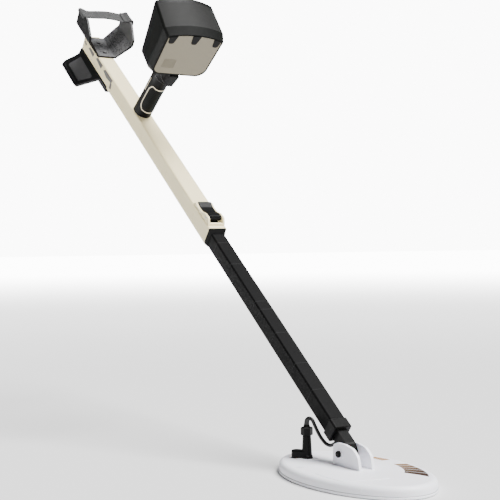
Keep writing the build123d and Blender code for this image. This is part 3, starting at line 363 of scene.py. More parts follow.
def grained(name, colour, roughness, grain=0.5, depth=0.03, lift=0.25, **settings):
    """Moulded plastic or rubber: fine grain, faint cloudy tone and a varying roughness."""
    finish = Finish(name, colour, roughness, **settings)
    cloud = finish.noise(38, 4)
    finish.colour(finish.mix(cloud, colour, scaled(colour, 1 + lift)))
    finish.rough(finish.noise(9, 3), roughness - 0.07, roughness + 0.09)
    finish.bump(finish.noise(grain, 2), depth)
    return finish


BEIGE = (0.86, 0.75, 0.45)
# The front panel's beige: the beige paint darkened as painted shade for the panel's downward-facing
# side.
SHADED_PANEL_BEIGE = (0.158, 0.138, 0.096)
COIL_WHITE = (0.92, 0.92, 0.97)
POD_DARK = (0.0045, 0.0048, 0.0044)
CROWN_GREY = (0.0165, 0.0165, 0.0160)
TUBE_DARK = (0.0026, 0.0026, 0.0027)
CUFF_DARK = (0.0035, 0.0035, 0.0036)
CUFF_INSIDE = (0.088, 0.088, 0.089)
STRAP_GREY = (0.053, 0.053, 0.053)
BLACK = (0.004, 0.004, 0.004)
RUBBER = (0.0032, 0.0034, 0.0031)
STAND_PALE = (0.055, 0.055, 0.056)

MOULD_JOINTS = (548.0, 575.0, 747.0)  # distances along the shaft
MOULD_JOINT_HALF = 0.25


def make_beige_paint():
    """Satin beige paint with an orange peel, faint scuffs along the shaft and mould joints."""
    finish = Finish("beige_paint", BEIGE, 0.42, Coat_Weight=0.12, Coat_Roughness=0.35)
    tone = finish.mix(finish.noise(70, 3), BEIGE, scaled(BEIGE, 0.95))
    scuffs = finish.step(finish.noise(5, 6, (0.12, 1, 0.12)), 0.63, 0.76)
    tone = finish.mix(finish.math("MULTIPLY", scuffs, 0.25), tone, scaled(BEIGE, 0.75))
    finish.colour(tone)
    finish.rough(finish.noise(14, 4), 0.36, 0.52)
    finish.bump(finish.noise(1.1, 2), 0.012)
    reach = finish.along(PIVOT, ALONG)
    for joint in MOULD_JOINTS:
        groove = finish.between(reach, joint - MOULD_JOINT_HALF, joint + MOULD_JOINT_HALF, 0.2)
        finish.bump(groove, -0.12)
    return finish.material


def make_panel_beige():
    """Fine spark-eroded grain on the pod's front panel, whose beige is darkened as painted shade.
    """
    finish = Finish("panel_beige", SHADED_PANEL_BEIGE, 0.5)
    speck = finish.noise(0.8, 2)
    finish.colour(finish.mix(speck, scaled(SHADED_PANEL_BEIGE, 0.9), scaled(SHADED_PANEL_BEIGE, 1.1)))
    finish.rough(finish.noise(6, 3), 0.44, 0.58)
    finish.bump(finish.noise(0.45, 3), 0.05)
    return finish.material


BAND_DEPTH = 17.0  # how far the dark band round the pod's front reaches back


def make_pod_grey():
    """Satin dark plastic; the faces of the crown that turn upwards, behind the front band, are
    coloured a paler grey.
    """
    finish = Finish("pod_grey", POD_DARK, 0.46, Specular_IOR_Level=0.04)
    depth = finish.along(POD_ORIGIN, POD_BACK)
    crown = finish.math("MULTIPLY", finish.step(finish.facing(POD_UP), 0.86, 0.93),
                        finish.step(depth, BAND_DEPTH, BAND_DEPTH + 0.5))
    base = finish.mix(finish.noise(45, 3), POD_DARK, scaled(POD_DARK, 1.3))
    finish.colour(finish.mix(crown, base, CROWN_GREY))
    finish.rough(finish.noise(11, 3), 0.36, 0.5)
    finish.bump(finish.noise(0.5, 2), 0.035)
    return finish.material


TUBE_BANDS = (109.0, 167.0, 238.0, 295.0, 315.0, 413.0, 472.0)  # distances along the shaft
TUBE_BAND_HALF = 0.5
WEAVE_PITCH = 1.6


def woven(finish, across):
    """A weave at 45 degrees to the shaft, on the faces that an axis across the shaft lies in."""
    return finish.math("MULTIPLY", finish.waves(ALONG + across, WEAVE_PITCH),
                       finish.waves(ALONG - across, WEAVE_PITCH))


def make_tube_black():
    """Woven composite under matt lacquer, with the faint bands between its moulded stretches."""
    finish = Finish("tube_black", TUBE_DARK, 0.5, Specular_IOR_Level=0.06)
    weave = woven(finish, LEFT)
    side_weave = woven(finish, ABOVE)
    on_side = finish.step(finish.math("ABSOLUTE", finish.facing(LEFT)), 0.6, 0.8)
    cloth = finish.node("ShaderNodeMix", {"Factor": on_side, VALUE_FIRST: weave,
                                          VALUE_SECOND: side_weave}).outputs[0]
    tone = finish.mix(finish.noise(30, 4), scaled(TUBE_DARK, 0.9), scaled(TUBE_DARK, 1.25))
    tone = finish.mix(finish.math("MULTIPLY", cloth, 0.35), tone, scaled(TUBE_DARK, 1.8))
    finish.rough(finish.noise(12, 3), 0.42, 0.6)
    finish.bump(cloth, 0.03)
    reach = finish.along(PIVOT, ALONG)
    for band in TUBE_BANDS:
        line = finish.between(reach, band - TUBE_BAND_HALF, band + TUBE_BAND_HALF, 0.3)
        finish.bump(line, -0.25)
        tone = finish.mix(finish.math("MULTIPLY", line, 0.7), tone, scaled(TUBE_DARK, 8.0))
    finish.colour(tone)
    return finish.material


# A soft darker spot on the coil's top.
DARK_SPOT_MIDDLE = (-23.0, -68.0, COIL_TOP)
DARK_SPOT_FADE = (9.0, 2.0)  # distances from the mark's middle over which it fades in
COVER_JOINT_SHADOW = (3.6, 4.6)  # heights of the joint between the coil's shell and its skid cover, drawn as a dark line of painted shadow


def make_coil_white():
    """Off-white satin plastic with a fine stipple, a soft darker spot on its top and a painted
    shadow line at the joint of its skid cover.
    """
    finish = Finish("coil_white", COIL_WHITE, 0.45, Subsurface_Weight=0.04, Subsurface_Scale=0.003)
    tone = finish.mix(finish.noise(55, 3), COIL_WHITE, scaled(COIL_WHITE, 0.96))
    dark_spot = finish.step(finish.distance(DARK_SPOT_MIDDLE), *DARK_SPOT_FADE)
    tone = finish.mix(dark_spot, tone, scaled(COIL_WHITE, 0.82))
    # The joint is drawn as a dark line: partly the real joint, partly painted shadow under the
    # cover's step.
    joint = finish.between(finish.along((0, 0, 0), (0, 0, 1)), *COVER_JOINT_SHADOW, 0.2)
    finish.colour(finish.mix(finish.math("MULTIPLY", joint, 0.8), tone, scaled(COIL_WHITE, 0.3)))
    finish.rough(finish.noise(10, 3), 0.38, 0.52)
    finish.bump(finish.noise(0.8, 3), 0.045)
    finish.bump(finish.noise(26, 2), 0.25)
    return finish.material


CUFF_WALL = (-6.0, -14.0)  # y times facing: the cuff's walls face inwards this far from its middle
PIT_SPACING = 3.9
PIT_EDGE = (0.36, 0.22)
PIT_DEPTH = 0.3


def make_cuff_grey():
    """Moulded grey plastic, paler inside the cuff, pitted on its floor with painted shade in the
    pits, and finely grained.
    """
    finish = Finish("cuff_grey", CUFF_DARK, 0.52, Specular_IOR_Level=0.08)
    across = finish.math("MULTIPLY", finish.along((0, 0, 0), LEFT), finish.facing(LEFT))
    floor = finish.step(finish.facing(ABOVE), 0.45, 0.6)
    inside = finish.math("MAXIMUM", floor, finish.step(across, *CUFF_WALL))
    tone = finish.mix(inside, CUFF_DARK, CUFF_INSIDE)
    worn = finish.mix(inside, scaled(CUFF_DARK, 1.3), scaled(CUFF_INSIDE, 1.35))
    tone = finish.mix(finish.noise(30, 3), tone, worn)
    # The pits are also coloured darker: painted shade in the hollows.
    pits = finish.step(finish.pebbles(PIT_SPACING), *PIT_EDGE)
    pits = finish.math("MULTIPLY", pits, floor)
    finish.colour(finish.mix(finish.math("MULTIPLY", pits, 0.7), tone, scaled(CUFF_INSIDE, 0.25)))
    finish.rough(finish.noise(8, 3), 0.46, 0.62)
    finish.bump(pits, -PIT_DEPTH)
    finish.bump(finish.noise(0.5, 2), 0.03)
    return finish.material


RIB_PITCH = 3.8
RIB_START = 30.0 - RIB_PITCH  # up the grip
RIB_GROOVE = 1.3


def make_insert_rubber():
    """Ribbed rubber: painted shade in the grooves and painted highlight on the lands between them.
    """
    finish = Finish("insert_rubber", RUBBER, 0.5, Specular_IOR_Level=0.08)
    height = finish.math("SUBTRACT", finish.along(GRIP_FOOT, GRIP_UP), RIB_START)
    # Painted shade in the grooves and painted highlight on the lands, standing for the ribs'
    # relief.
    groove = finish.between(finish.math("MODULO", height, RIB_PITCH), 0.0, RIB_GROOVE, 0.25)
    land_highlight = finish.mix(finish.noise(12, 3), scaled(RUBBER, 1.6), scaled(RUBBER, 3.0))
    finish.colour(finish.mix(groove, land_highlight, scaled(RUBBER, 0.3)))
    finish.rough(finish.noise(6, 3), 0.42, 0.58)
    finish.bump(finish.noise(0.8, 2), 0.06)
    return finish.material


LEG_ROOT = (15.0, -4.0)  # y and u of the line where each leg leaves the stand's shell
LEG_OUT = (0.779, 0.627)  # the outward normal of a leg's face, as y and u
LEG_RECESS = (4.3, 5.2)  # the recess's floor lies this far outside the leg's root plane


def make_stand_plastic():
    """Black moulding with a paler, matt recess in each leg's outer face."""
    finish = Finish("stand_plastic", BLACK, 0.5, Specular_IOR_Level=0.12)
    sideways = finish.math("ABSOLUTE", finish.along((0, 0, 0), LEFT))
    outward = finish.math("SUBTRACT", sideways, LEG_ROOT[0])
    upward = finish.math("SUBTRACT", finish.along(PIVOT, ABOVE), LEG_ROOT[1])
    reach = finish.math("ADD", finish.math("MULTIPLY", outward, LEG_OUT[0]),
                        finish.math("MULTIPLY", upward, LEG_OUT[1]))
    recess = finish.between(reach, *LEG_RECESS, 0.1)
    base = finish.mix(finish.noise(30, 3), BLACK, scaled(BLACK, 1.6))
    pale = finish.mix(finish.noise(14, 3), scaled(STAND_PALE, 0.9), scaled(STAND_PALE, 1.15))
    finish.colour(finish.mix(recess, base, pale))
    finish.rough(finish.noise(8, 3), 0.44, 0.6)
    finish.bump(finish.noise(0.6, 2), 0.04)
    return finish.material


SELVEDGE = 3.5


def make_strap_fabric():
    """Grey webbing: weft ribs across the strap, warp ends along it, a darker selvedge and painted
    shade on faces turned down.
    """
    finish = Finish("strap_fabric", STRAP_GREY, 0.85, Specular_IOR_Level=0.2, Sheen_Weight=0.06,
                    Sheen_Roughness=0.4)
    weft = finish.waves(ALONG, 1.5)
    warp = finish.waves(LEFT + ABOVE * 0.8, 1.9)
    warp = finish.math("ADD", finish.math("MULTIPLY", warp, 0.6), 0.4)
    weave = finish.math("MULTIPLY", weft, warp)
    tone = finish.mix(weave, scaled(STRAP_GREY, 0.55), scaled(STRAP_GREY, 1.4))
    reach = finish.along(PIVOT, ALONG)
    body = finish.between(reach, STRAP_FRONT + SELVEDGE, STRAP_REAR - SELVEDGE, 0.6)
    selvedge = finish.math("SUBTRACT", 1.0, body)
    tone = finish.mix(finish.math("MULTIPLY", selvedge, 0.55), tone, scaled(STRAP_GREY, 0.4))
    # Faces turned down are darkened: painted shade.
    underside_shade = finish.step(finish.facing(ABOVE), 0.05, -0.25)
    finish.colour(finish.mix(underside_shade, tone, scaled(STRAP_GREY, 0.3)))
    finish.rough(finish.noise(4, 3), 0.78, 0.92)
    finish.bump(weave, 0.3)
    return finish.material


SCREEN_HALF = 36.0
COLUMN_PITCH = 6.0
COLUMN_GAP = 1.0
BARS = (54.0, 80.0)  # heights up the pod's rear face between which the level bars are drawn
RULE = (50.5, 51.3)
LEVEL = 66.0
LEVEL_SWING = 7.0
SCREEN_DARK = (0.006, 0.008, 0.007)
SCREEN_GREEN = (0.12, 0.15, 0.12)


def make_display():
    """A dark liquid-crystal screen: a rule with a row of level bars above it."""
    finish = Finish("display_dark", (0.02, 0.028, 0.025), 0.22)
    x = finish.along(FACE_ORIGIN, -LEFT)
    height = finish.along(FACE_ORIGIN, FACE_UP)
    column = finish.math("MODULO", finish.math("ADD", x, 10 * COLUMN_PITCH), COLUMN_PITCH)
    in_column = finish.between(column, COLUMN_GAP, COLUMN_PITCH - COLUMN_GAP, 0.1)
    swing = finish.math("SINE", finish.math("MULTIPLY", x, 0.09))
    level = finish.math("ADD", finish.math("MULTIPLY", swing, LEVEL_SWING), LEVEL)
    bars = finish.math("MULTIPLY", finish.between(height, *BARS, 0.1),
                       finish.math("LESS_THAN", height, level))
    bars = finish.math("MULTIPLY", bars, in_column)
    marks = finish.math("ADD", bars, finish.between(height, *RULE, 0.1))
    marks = finish.math("MULTIPLY", marks, finish.between(x, -SCREEN_HALF, SCREEN_HALF, 0.1))
    finish.colour(finish.mix(marks, SCREEN_GREEN, SCREEN_DARK))
    finish.rough(finish.noise(3, 2), 0.18, 0.3)
    return finish.material


def make_board():
    """Green solder mask with copper tracks under it."""
    finish = Finish("board_green", (0.02, 0.11, 0.05), 0.35, Coat_Weight=0.3)
    tracks = finish.step(finish.waves(LEFT + FACE_UP * 0.2, 2.4), 0.7, 0.9)
    tracks = finish.math("MULTIPLY", tracks, finish.step(finish.noise(12, 1), 0.45, 0.5))
    finish.colour(finish.mix(tracks, (0.015, 0.10, 0.045), (0.05, 0.22, 0.09)))
    finish.rough(finish.noise(4, 2), 0.3, 0.45)
    finish.bump(tracks, 0.06)
    return finish.material


def make_metal(name, colour, roughness, direction, pitch):
    """Brushed metal: fine lines across a direction, and a varying roughness."""
    finish = Finish(name, colour, roughness, Metallic=1.0)
    finish.colour(finish.mix(finish.noise(5, 4), colour, scaled(colour, 0.8)))
    finish.rough(finish.noise(1.5, 4), roughness - 0.08, roughness + 0.12)
    finish.bump(finish.waves(direction, pitch), 0.01)
    return finish.material


CELLS_START = 1070.5  # along the shaft
CELL_LENGTH = 51.0
CELL_WRAP = 36.0


def make_cell_metal():
    """The cells' sleeves: dark wrap with a bright shoulder towards each terminal."""
    finish = Finish("cell_metal", (0.10, 0.11, 0.13), 0.35, Metallic=0.6)
    reach = finish.math("SUBTRACT", finish.along(PIVOT, ALONG), CELLS_START)
    reach = finish.math("MODULO", reach, CELL_LENGTH)
    shoulder = finish.step(reach, CELL_WRAP, CELL_WRAP + 0.6)
    finish.colour(finish.mix(shoulder, (0.05, 0.055, 0.065), (0.72, 0.46, 0.25)))
    finish.rough(finish.noise(3, 3), 0.28, 0.42)
    return finish.material


def make_window():
    """The clear window over the screen, with a faint smear in its gloss."""
    finish = Finish("window_glass", (0.85, 0.88, 0.88), 0.06, Transmission_Weight=0.92, IOR=1.49)
    finish.rough(finish.noise(16, 4), 0.03, 0.12)
    finish.colour(finish.mix(finish.noise(40, 2), (0.82, 0.85, 0.85), (0.88, 0.9, 0.9)))
    return finish.material


INK_FADE = (-30.0, 110.0)  # from X to X


def make_ink(name, rear, front):
    """Printed ink, one colour at the rear fading to another at the front, with specks worn out."""
    finish = Finish(name, rear, 0.5)
    fade = finish.step(finish.along((0, 0, 0), (1, 0, 0)), *INK_FADE)
    tone = finish.mix(fade, rear, front)
    specks = finish.math("MULTIPLY", finish.step(finish.noise(0.9, 3), 0.62, 0.72), 0.4)
    finish.colour(finish.mix(specks, tone, scaled(rear, 1.6)))
    finish.rough(finish.noise(2, 2), 0.42, 0.56)
    return finish.material


MATERIALS = {
    "beige_paint": make_beige_paint(),
    "panel_beige": make_panel_beige(),
    "trim_beige": grained("trim_beige", (0.66, 0.58, 0.42), 0.45, lift=0.08).material,
    "black_plastic": grained("black_plastic", BLACK, 0.36, Specular_IOR_Level=0.08).material,
    "grip_rubber": grained("grip_rubber", RUBBER, 0.5, grain=0.8, depth=0.07,
                           Specular_IOR_Level=0.07).material,
    "cable_rubber": grained("cable_rubber", BLACK, 0.3, depth=0.02,
                            Specular_IOR_Level=0.4).material,
    "pod_grey": make_pod_grey(),
    "tube_black": make_tube_black(),
    "coil_white": make_coil_white(),
    "cuff_grey": make_cuff_grey(),
    "strap_fabric": make_strap_fabric(),
    "window_glass": make_window(),
    "display_dark": make_display(),
    "board_green": make_board(),
    "button_rubber": grained("button_rubber", (0.10, 0.10, 0.10), 0.6, depth=0.04).material,
    "steel": make_metal("steel", (0.56, 0.56, 0.55), 0.34, LEFT, 0.4),
    "copper": make_metal("copper", (0.72, 0.36, 0.18), 0.38, Vector((0, 0, 1)), 0.7),
    "speaker_black": grained("speaker_black", (0.02, 0.02, 0.02), 0.6).material,
    "cell_metal": make_cell_metal(),
}
# Materials of nodes that do not look like the rest of their slot.
OWN_MATERIALS = {"stand": make_stand_plastic(), "grip_insert": make_insert_rubber()}


def dress_nodes():
    """Give every CAD node the material of its slot in the record, or its own."""
    for entry in frame["record"]["subparts"]:
        data = frame["nodes"][entry["node"]].data
        data.materials.clear()
        data.materials.append(OWN_MATERIALS.get(entry["node"], MATERIALS[entry["material_slot"]]))


dress_nodes()

# ---- Coil cable ----
CABLE_DIAMETER = 5.4
RELIEF_LENGTH = 13.0
RELIEF_RADIUS = 4.2
RELIEF_TAPER = 1.1
# Control points from the boot on the coil's post to the hole in the yoke.
CABLE_ROUTE = [
    (-71.5, -23.0, 69.0),
    (-71.5, -23.0, 75.0),
    (-67.2, -21.4, 78.9),
    (-61.7, -19.3, 77.6),
    (-57.5, -16.8, 66.5),
    (-49.6, -12.6, 51.0),
    (-38.6, -8.8, 41.2),
    (-26.6, -5.8, 42.6),
    (-19.0, -4.0, 50.6),
]


SPLINE_ORDER = 3
SPLINE_STEPS = 10


def spline_points(route):
    """Points read from a smooth spline whose control points are the route's."""
    curve = bpy.data.curves.new("route", "CURVE")
    curve.dimensions = "3D"
    curve.resolution_u = SPLINE_STEPS
    spline = curve.splines.new("NURBS")
    spline.points.add(len(route) - 1)
    for point, place in zip(spline.points, route):
        point.co = (*[value * MM for value in place], 1)
    spline.order_u = SPLINE_ORDER
    spline.use_endpoint_u = True
    holder = bpy.data.objects.new("route", curve)
    bpy.context.scene.collection.objects.link(holder)
    bpy.context.view_layer.update()
    depsgraph = bpy.context.evaluated_depsgraph_get()
    line = bpy.data.meshes.new_from_object(holder.evaluated_get(depsgraph))
    points = [vertex.co / MM for vertex in line.vertices]
    bpy.data.objects.remove(holder)
    bpy.data.meshes.remove(line)
    return points


def start_of(line, length):
    """The points of a line up to a length along it, in millimetres."""
    kept = [line[0]]
    walked = 0.0
    for before, after in zip(line, line[1:]):
        walked += (after - before).length
        if walked > length:
            break
        kept.append(after)
    return kept


def make_cable():
    """The coil's cable, a fixed curve between the coil and the lower shaft."""
    line = spline_points(CABLE_ROUTE)
    cable = tubes("coil_lead", [line], CABLE_DIAMETER / 2, sides=20)
    finish_piece(cable, "cable_rubber", None)
    sleeve = tubes("bend_relief", [start_of(line, RELIEF_LENGTH)],
                   lambda share: RELIEF_RADIUS - RELIEF_TAPER * share, sides=24)
    finish_piece(sleeve, "cable_rubber", "coil")
    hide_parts("coil_cable")
    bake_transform(cable)


make_cable()

# ---- Arm strap ----
STRAP_HALF_THICK = 0.9
STRAP_SAG = 1.1
STRAP_STEPS = 5
STRAP_COLUMNS = 10
# Edge lines as (y, u): from the near side, over the cuff, down the far side.
STRAP_REAR_LINE = [(-54.3, 96), (-54.5, 100.5), (-52, 102.4), (-47, 101.6), (-34, 97.5), (-17, 99),
                   (5, 100.8), (22, 100.2), (36, 98.6), (47, 99.5), (52, 102.4), (54.7, 100.5),
                   (54.8, 88)]
STRAP_FRONT_LINE = [(-54.3, 96), (-54.6, 101), (-52, 102.6), (-46.7, 100.2), (-26, 101.2),
                    (-8, 102.6), (12.5, 101.6), (30, 99.2), (42, 98.6), (49, 100.6),
                    (52, 102.4), (54.8, 100.4), (54.8, 88)]
TAIL_REAR_LINE = [(38, 100.5), (46, 101.2), (52.3, 104), (56.8, 100.6), (56.9, 85)]
TAIL_FRONT_LINE = [(36, 101.1), (44, 101), (52.5, 104.3), (57, 100.2), (57, 80)]
STITCH_ROWS = [-49.0, -45.5, 41.5, 45.5]
STITCH_LENGTH = 2.1
STITCH_PITCH = 3.0
STITCH_MARGIN = 2.0
STITCH_LIFT = 0.05
THREAD_RADIUS = 0.3


def smooth_line(points, steps):
    """Points along a Catmull-Rom curve through the given points."""
    padded = [points[0], *points, points[-1]]
    line = []
    for index in range(len(points) - 1):
        before, start, end, after = [Vector(point) for point in padded[index:index + 4]]
        for step in range(steps):
            t = step / steps
            line.append(0.5 * ((2 * start) + (end - before) * t
                               + (2 * before - 5 * start + 4 * end - after) * t**2
                               + (3 * start - before - 3 * end + after) * t**3))
    line.append(Vector(points[-1]))
    return line


def strap_point(rear, front, share):
    """A point of the strap's middle surface: share runs from its front edge to its rear edge."""
    y, u = front.lerp(rear, share)
    hollow = STRAP_SAG * sin(pi * share)
    return on_shaft(STRAP_FRONT + (STRAP_REAR - STRAP_FRONT) * share, u - hollow, y)


def webbing(name, rear_line, front_line):
    """A band of webbing between two edge lines, and the length of its middle."""
    edges = list(zip(smooth_line(rear_line, STRAP_STEPS), smooth_line(front_line, STRAP_STEPS)))
    points = [strap_point(rear, front, column / STRAP_COLUMNS) for rear, front in edges
              for column in range(STRAP_COLUMNS + 1)]
    width = STRAP_COLUMNS + 1
    faces = []
    for row in range(len(edges) - 1):
        for column in range(STRAP_COLUMNS):
            here = row * width + column
            faces.append((here, here + 1, here + width + 1, here + width))
    band = add_mesh(name, points, faces)
    middle = [strap_point(rear, front, 0.5) for rear, front in edges]
    length = sum((after - before).length for before, after in zip(middle, middle[1:]))
    thicken = band.modifiers.new("webbing", "SOLIDIFY")
    thicken.thickness = 2 * STRAP_HALF_THICK * MM
    thicken.offset = 0
    smooth = band.modifiers.new("smooth", "SUBSURF")
    smooth.levels = 1
    smooth.render_levels = 1
    finish_piece(band, "strap_fabric", "shaft")
    return band, length


def strap_at(y, share):
    """The point of the strap's middle surface nearest to a place across the cuff."""
    edges = zip(smooth_line(STRAP_REAR_LINE, steps=12), smooth_line(STRAP_FRONT_LINE, steps=12))
    return min((strap_point(rear, front, share) for rear, front in edges),
               key=lambda point: abs(point.y - y))


def make_stitches():
    """Rows of thread across the strap where its ends are folded and sewn."""
    stitches = []
    width = STRAP_REAR - STRAP_FRONT
    count = int((width - 2 * STITCH_MARGIN) / STITCH_PITCH)
    for y in STITCH_ROWS:
        top = STRAP_HALF_THICK if y < 0 else 3 * STRAP_HALF_THICK
        for index in range(count):
            start = (STITCH_MARGIN + STITCH_PITCH * index) / width
            ends = [strap_at(y, start), strap_at(y, start + STITCH_LENGTH / width)]
            stitches.append([end + ABOVE * (top + STITCH_LIFT) for end in ends])
    thread = tubes("strap_stitches", stitches, THREAD_RADIUS, sides=6)
    return finish_piece(thread, "speaker_black", "shaft")


def make_strap():
    """The webbing over the cuff, with its folded tail on the far side and its stitching."""
    strap, length = webbing("webbing_strap", STRAP_REAR_LINE, STRAP_FRONT_LINE)
    tail, _ = webbing("strap_tail", TAIL_REAR_LINE, TAIL_FRONT_LINE)
    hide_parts("cuff_strap")
    make_stitches()


make_strap()

# ---- Marks on the coil ----
# First and last angle of each bar, in degrees from the front.
COIL_BARS = [(113, 109), (108.4, 104.2), (103.6, 99), (82, 76.3), (75.2, 68.3), (67.2, 59.3),
             (58.2, 49), (47.9, 36)]
ROW_START = 113
ROW_END = 37
# Reach of the row's inner and outer edge at its start, and how much it changes along the row.
INNER_REACH = 0.72
INNER_CHANGE = -0.12
OUTER_REACH = 0.85
OUTER_CHANGE = 0.04
BAR_SLANT = 2.0
BAR_STEPS = 6
TIP_SHIFT = 0.05
PRINT_RISE = 0.2
PRINT_SINK = 0.08
RIDGE_CORNERS = [(26, -74), (60, -75), (86, -71), (98, -50), (106, -25), (108, -8)]
RIDGE_RADIUS = 0.5
SEAM_ANGLES = (-78.5, -47.6)
SEAM_HEIGHTS = (6, 8, 10, 12, 14)
SEAM_REACH = 1.02
SEAM_RADIUS = 0.45
SEAM_SINK = 0.1
STRIPE_BROWN = (0.40, 0.23, 0.11)
STRIPE_DARK = (0.030, 0.013, 0.006)


def bar_edges(angle):
    """The inner and outer reach of the row of bars at an angle."""
    share = (ROW_START - angle) / (ROW_START - ROW_END)
    return INNER_REACH + INNER_CHANGE * share, OUTER_REACH + OUTER_CHANGE * share


def coil_bar(start, end):
    """The outline of one bar of the row, with slanted ends; the last bar ends in a tip."""
    angles = [start + (end - start) * step / BAR_STEPS for step in range(BAR_STEPS + 1)]
    inner = [on_coil(angle, bar_edges(angle)[0], COIL_TOP) for angle in angles]
    outer = [on_coil(angle - BAR_SLANT, bar_edges(angle)[1], COIL_TOP) for angle in angles]
    if (start, end) == COIL_BARS[-1]:
        inner[-1] = on_coil(end, sum(bar_edges(end)) / 2 + TIP_SHIFT, COIL_TOP)
    return inner + outer[::-1]


def make_coil_bars():
    """The row of printed bars on the coil's left, brown at the rear and dark at the front."""
    ink = make_ink("stripe_ink", STRIPE_BROWN, STRIPE_DARK)
    outlines = [coil_bar(*bar) for bar in COIL_BARS]
    bars = plates("coil_bars", outlines, Vector((0, 0, PRINT_RISE)), PRINT_SINK)
    finish_piece(bars, "trim_beige", "coil", ink)


def make_coil_lines():
    """The raised line on the coil's right, and the moulding seams down its rim."""
    line = [(x, y, COIL_TOP) for x, y in smooth_line(RIDGE_CORNERS, steps=8)]
    ridge = tubes("coil_ridge", [line], RIDGE_RADIUS, sides=10)
    finish_piece(ridge, "coil_white", "coil")
    seams = [[on_surface("coil_shell", on_coil(angle, SEAM_REACH, height), -SEAM_SINK)
              for height in SEAM_HEIGHTS] for angle in SEAM_ANGLES]
    joints = tubes("coil_seams", seams, SEAM_RADIUS, sides=10)
    finish_piece(joints, "coil_white", "coil")


make_coil_bars()
make_coil_lines()

# ---- Marks on the rear of the shaft ----
SIDE_Y = -18.0
# Corners of each mark as (s, u).
SIDE_MARKS = [
    [(1189, 22.2), (1184.5, 26), (1173.5, 22.5), (1177.5, 16.6)],
    [(1161.5, 20), (1154.6, 26.5), (1125.5, 25.5), (1129.5, 16)],
    [(1113.5, 22), (1104.2, 28.4), (1072, 28.4), (1078.5, 17.4)],
    [(1064.5, 21.3), (1054.9, 28.4), (1010, 28.4), (1014, 20), (1042.9, 16.4)],
    [(1020, 20.4), (1011, 20.4), (1008.5, 8.7), (1018.3, 6)],
]
SIDE_SPECKS = [(1156.6, 6.6), (1144.9, 8.5), (1133.1, 8.2), (1120.8, 7.3), (1112.5, 8.3),
               (1103.6, 8.3), (1094.3, 9.5)]
SPECK_HALF = 1.1


def make_side_marks():
    """Slanted grey bars along the rear of the shaft's right side, over a row of specks."""
    ink = make_ink("side_ink", (0.10, 0.09, 0.08), (0.12, 0.105, 0.09))
    bars = [[on_shaft(s, u, SIDE_Y) for s, u in corners] for corners in SIDE_MARKS]
    marks = plates("side_bars", bars, -LEFT * PRINT_RISE, PRINT_SINK)
    finish_piece(marks, "pod_grey", "shaft", ink)
    specks = [[on_shaft(s + SPECK_HALF * a, u + SPECK_HALF * b, SIDE_Y)
               for a, b in ((-1, 0), (0, -1), (1, 0), (0, 1))] for s, u in SIDE_SPECKS]
    dots = plates("side_specks", specks, -LEFT * PRINT_RISE, PRINT_SINK)
    finish_piece(dots, "pod_grey", "shaft", ink)


make_side_marks()

# ---- Grip and neck trim ----
ACCENT_HEIGHTS = range(64, 99, 3)
ACCENT_BACK = 3.5
ACCENT_Y = -17
ACCENT_RADIUS = 0.8
DOT_RADIUS = 1.5
DOT_BEVEL = 0.4
DOT_DEPTHS = (-0.5, 0.7, 1.0)  # how far the dot's rings stand out from the grip
FLUTE_RADIUS = 0.3
FLUTE_SWELL = 0.8
# Points as (back, height, y) in the grip's frame.
FLUTES = [
    [(-3.2, 114.5, -17.4), (-9.5, 111.8, -16.0), (-16.2, 109.7, -12.5), (-21.0, 108.6, -7.1),
     (-22.6, 105.6, 1.0)],
    [(-16.6, 128.1, -15.7), (-19.0, 122.7, -12.6), (-21.3, 116.1, -7.7), (-22.9, 109.9, -1.8)],
]


def make_grip_trim():
    """The pale line down the grip's side with its dot, and the flutes round the neck."""
    line = [on_surface("grip_sleeve", on_grip(ACCENT_BACK, height, ACCENT_Y))
            for height in ACCENT_HEIGHTS]
    accent = tubes("grip_line", [line], ACCENT_RADIUS, sides=10)
    finish_piece(accent, "trim_beige", "shaft")
    dot = tubes("grip_dot", [[line[0] - LEFT * depth for depth in DOT_DEPTHS]],
                lambda share: DOT_RADIUS if share < 1 else DOT_RADIUS - DOT_BEVEL, sides=20)
    finish_piece(dot, "trim_beige", "shaft")
    ribs = [[on_surface("neck", on_grip(*point)) for point in smooth_line(flute, steps=6)]
            for flute in FLUTES]
    flutes = tubes("neck_flutes", ribs,
                   lambda share: FLUTE_RADIUS + FLUTE_SWELL * sin(pi * share), sides=12)
    finish_piece(flutes, "cable_rubber", "shaft")


make_grip_trim()

# ---- Symbols on the buttons ----
SYMBOL_HALF = 2.6
SYMBOL_RISE = 0.35
SYMBOL_SINK = 0.1
BAR_HALF = 0.45
RING_RADIUS = 0.4
RING_START = 125  # in degrees from the right, so that the ring is open at its top
RING_TURN = 290
RING_STEPS = 24


def button_front(node):
    """The middle of a button's front."""
    low, high = (Vector(corner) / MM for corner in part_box(node))
    centre = (low + high) / 2
    vertices = frame["nodes"][node].data.vertices
    reach = max((vertex.co / MM - centre).dot(FACE_BACK) for vertex in vertices)
    return centre + FACE_BACK * reach


def symbol_bar(centre, height=0.0, upright=False, half=SYMBOL_HALF):
    """A short bar on a button, level or upright."""
    wide, tall = (BAR_HALF, half) if upright else (half, BAR_HALF)
    return [centre - LEFT * wide * x + FACE_UP * (height + tall * y)
            for x, y in ((-1, -1), (1, -1), (1, 1), (-1, 1))]


def make_symbol(node, bars):
    """The raised symbol on one button, made of bars, which moves with it."""
    centre = button_front(node)
    symbol = plates(f"{node}_symbol", [symbol_bar(centre, **bar) for bar in bars],
                    FACE_BACK * SYMBOL_RISE, SYMBOL_SINK)
    finish_piece(symbol, "trim_beige", node)


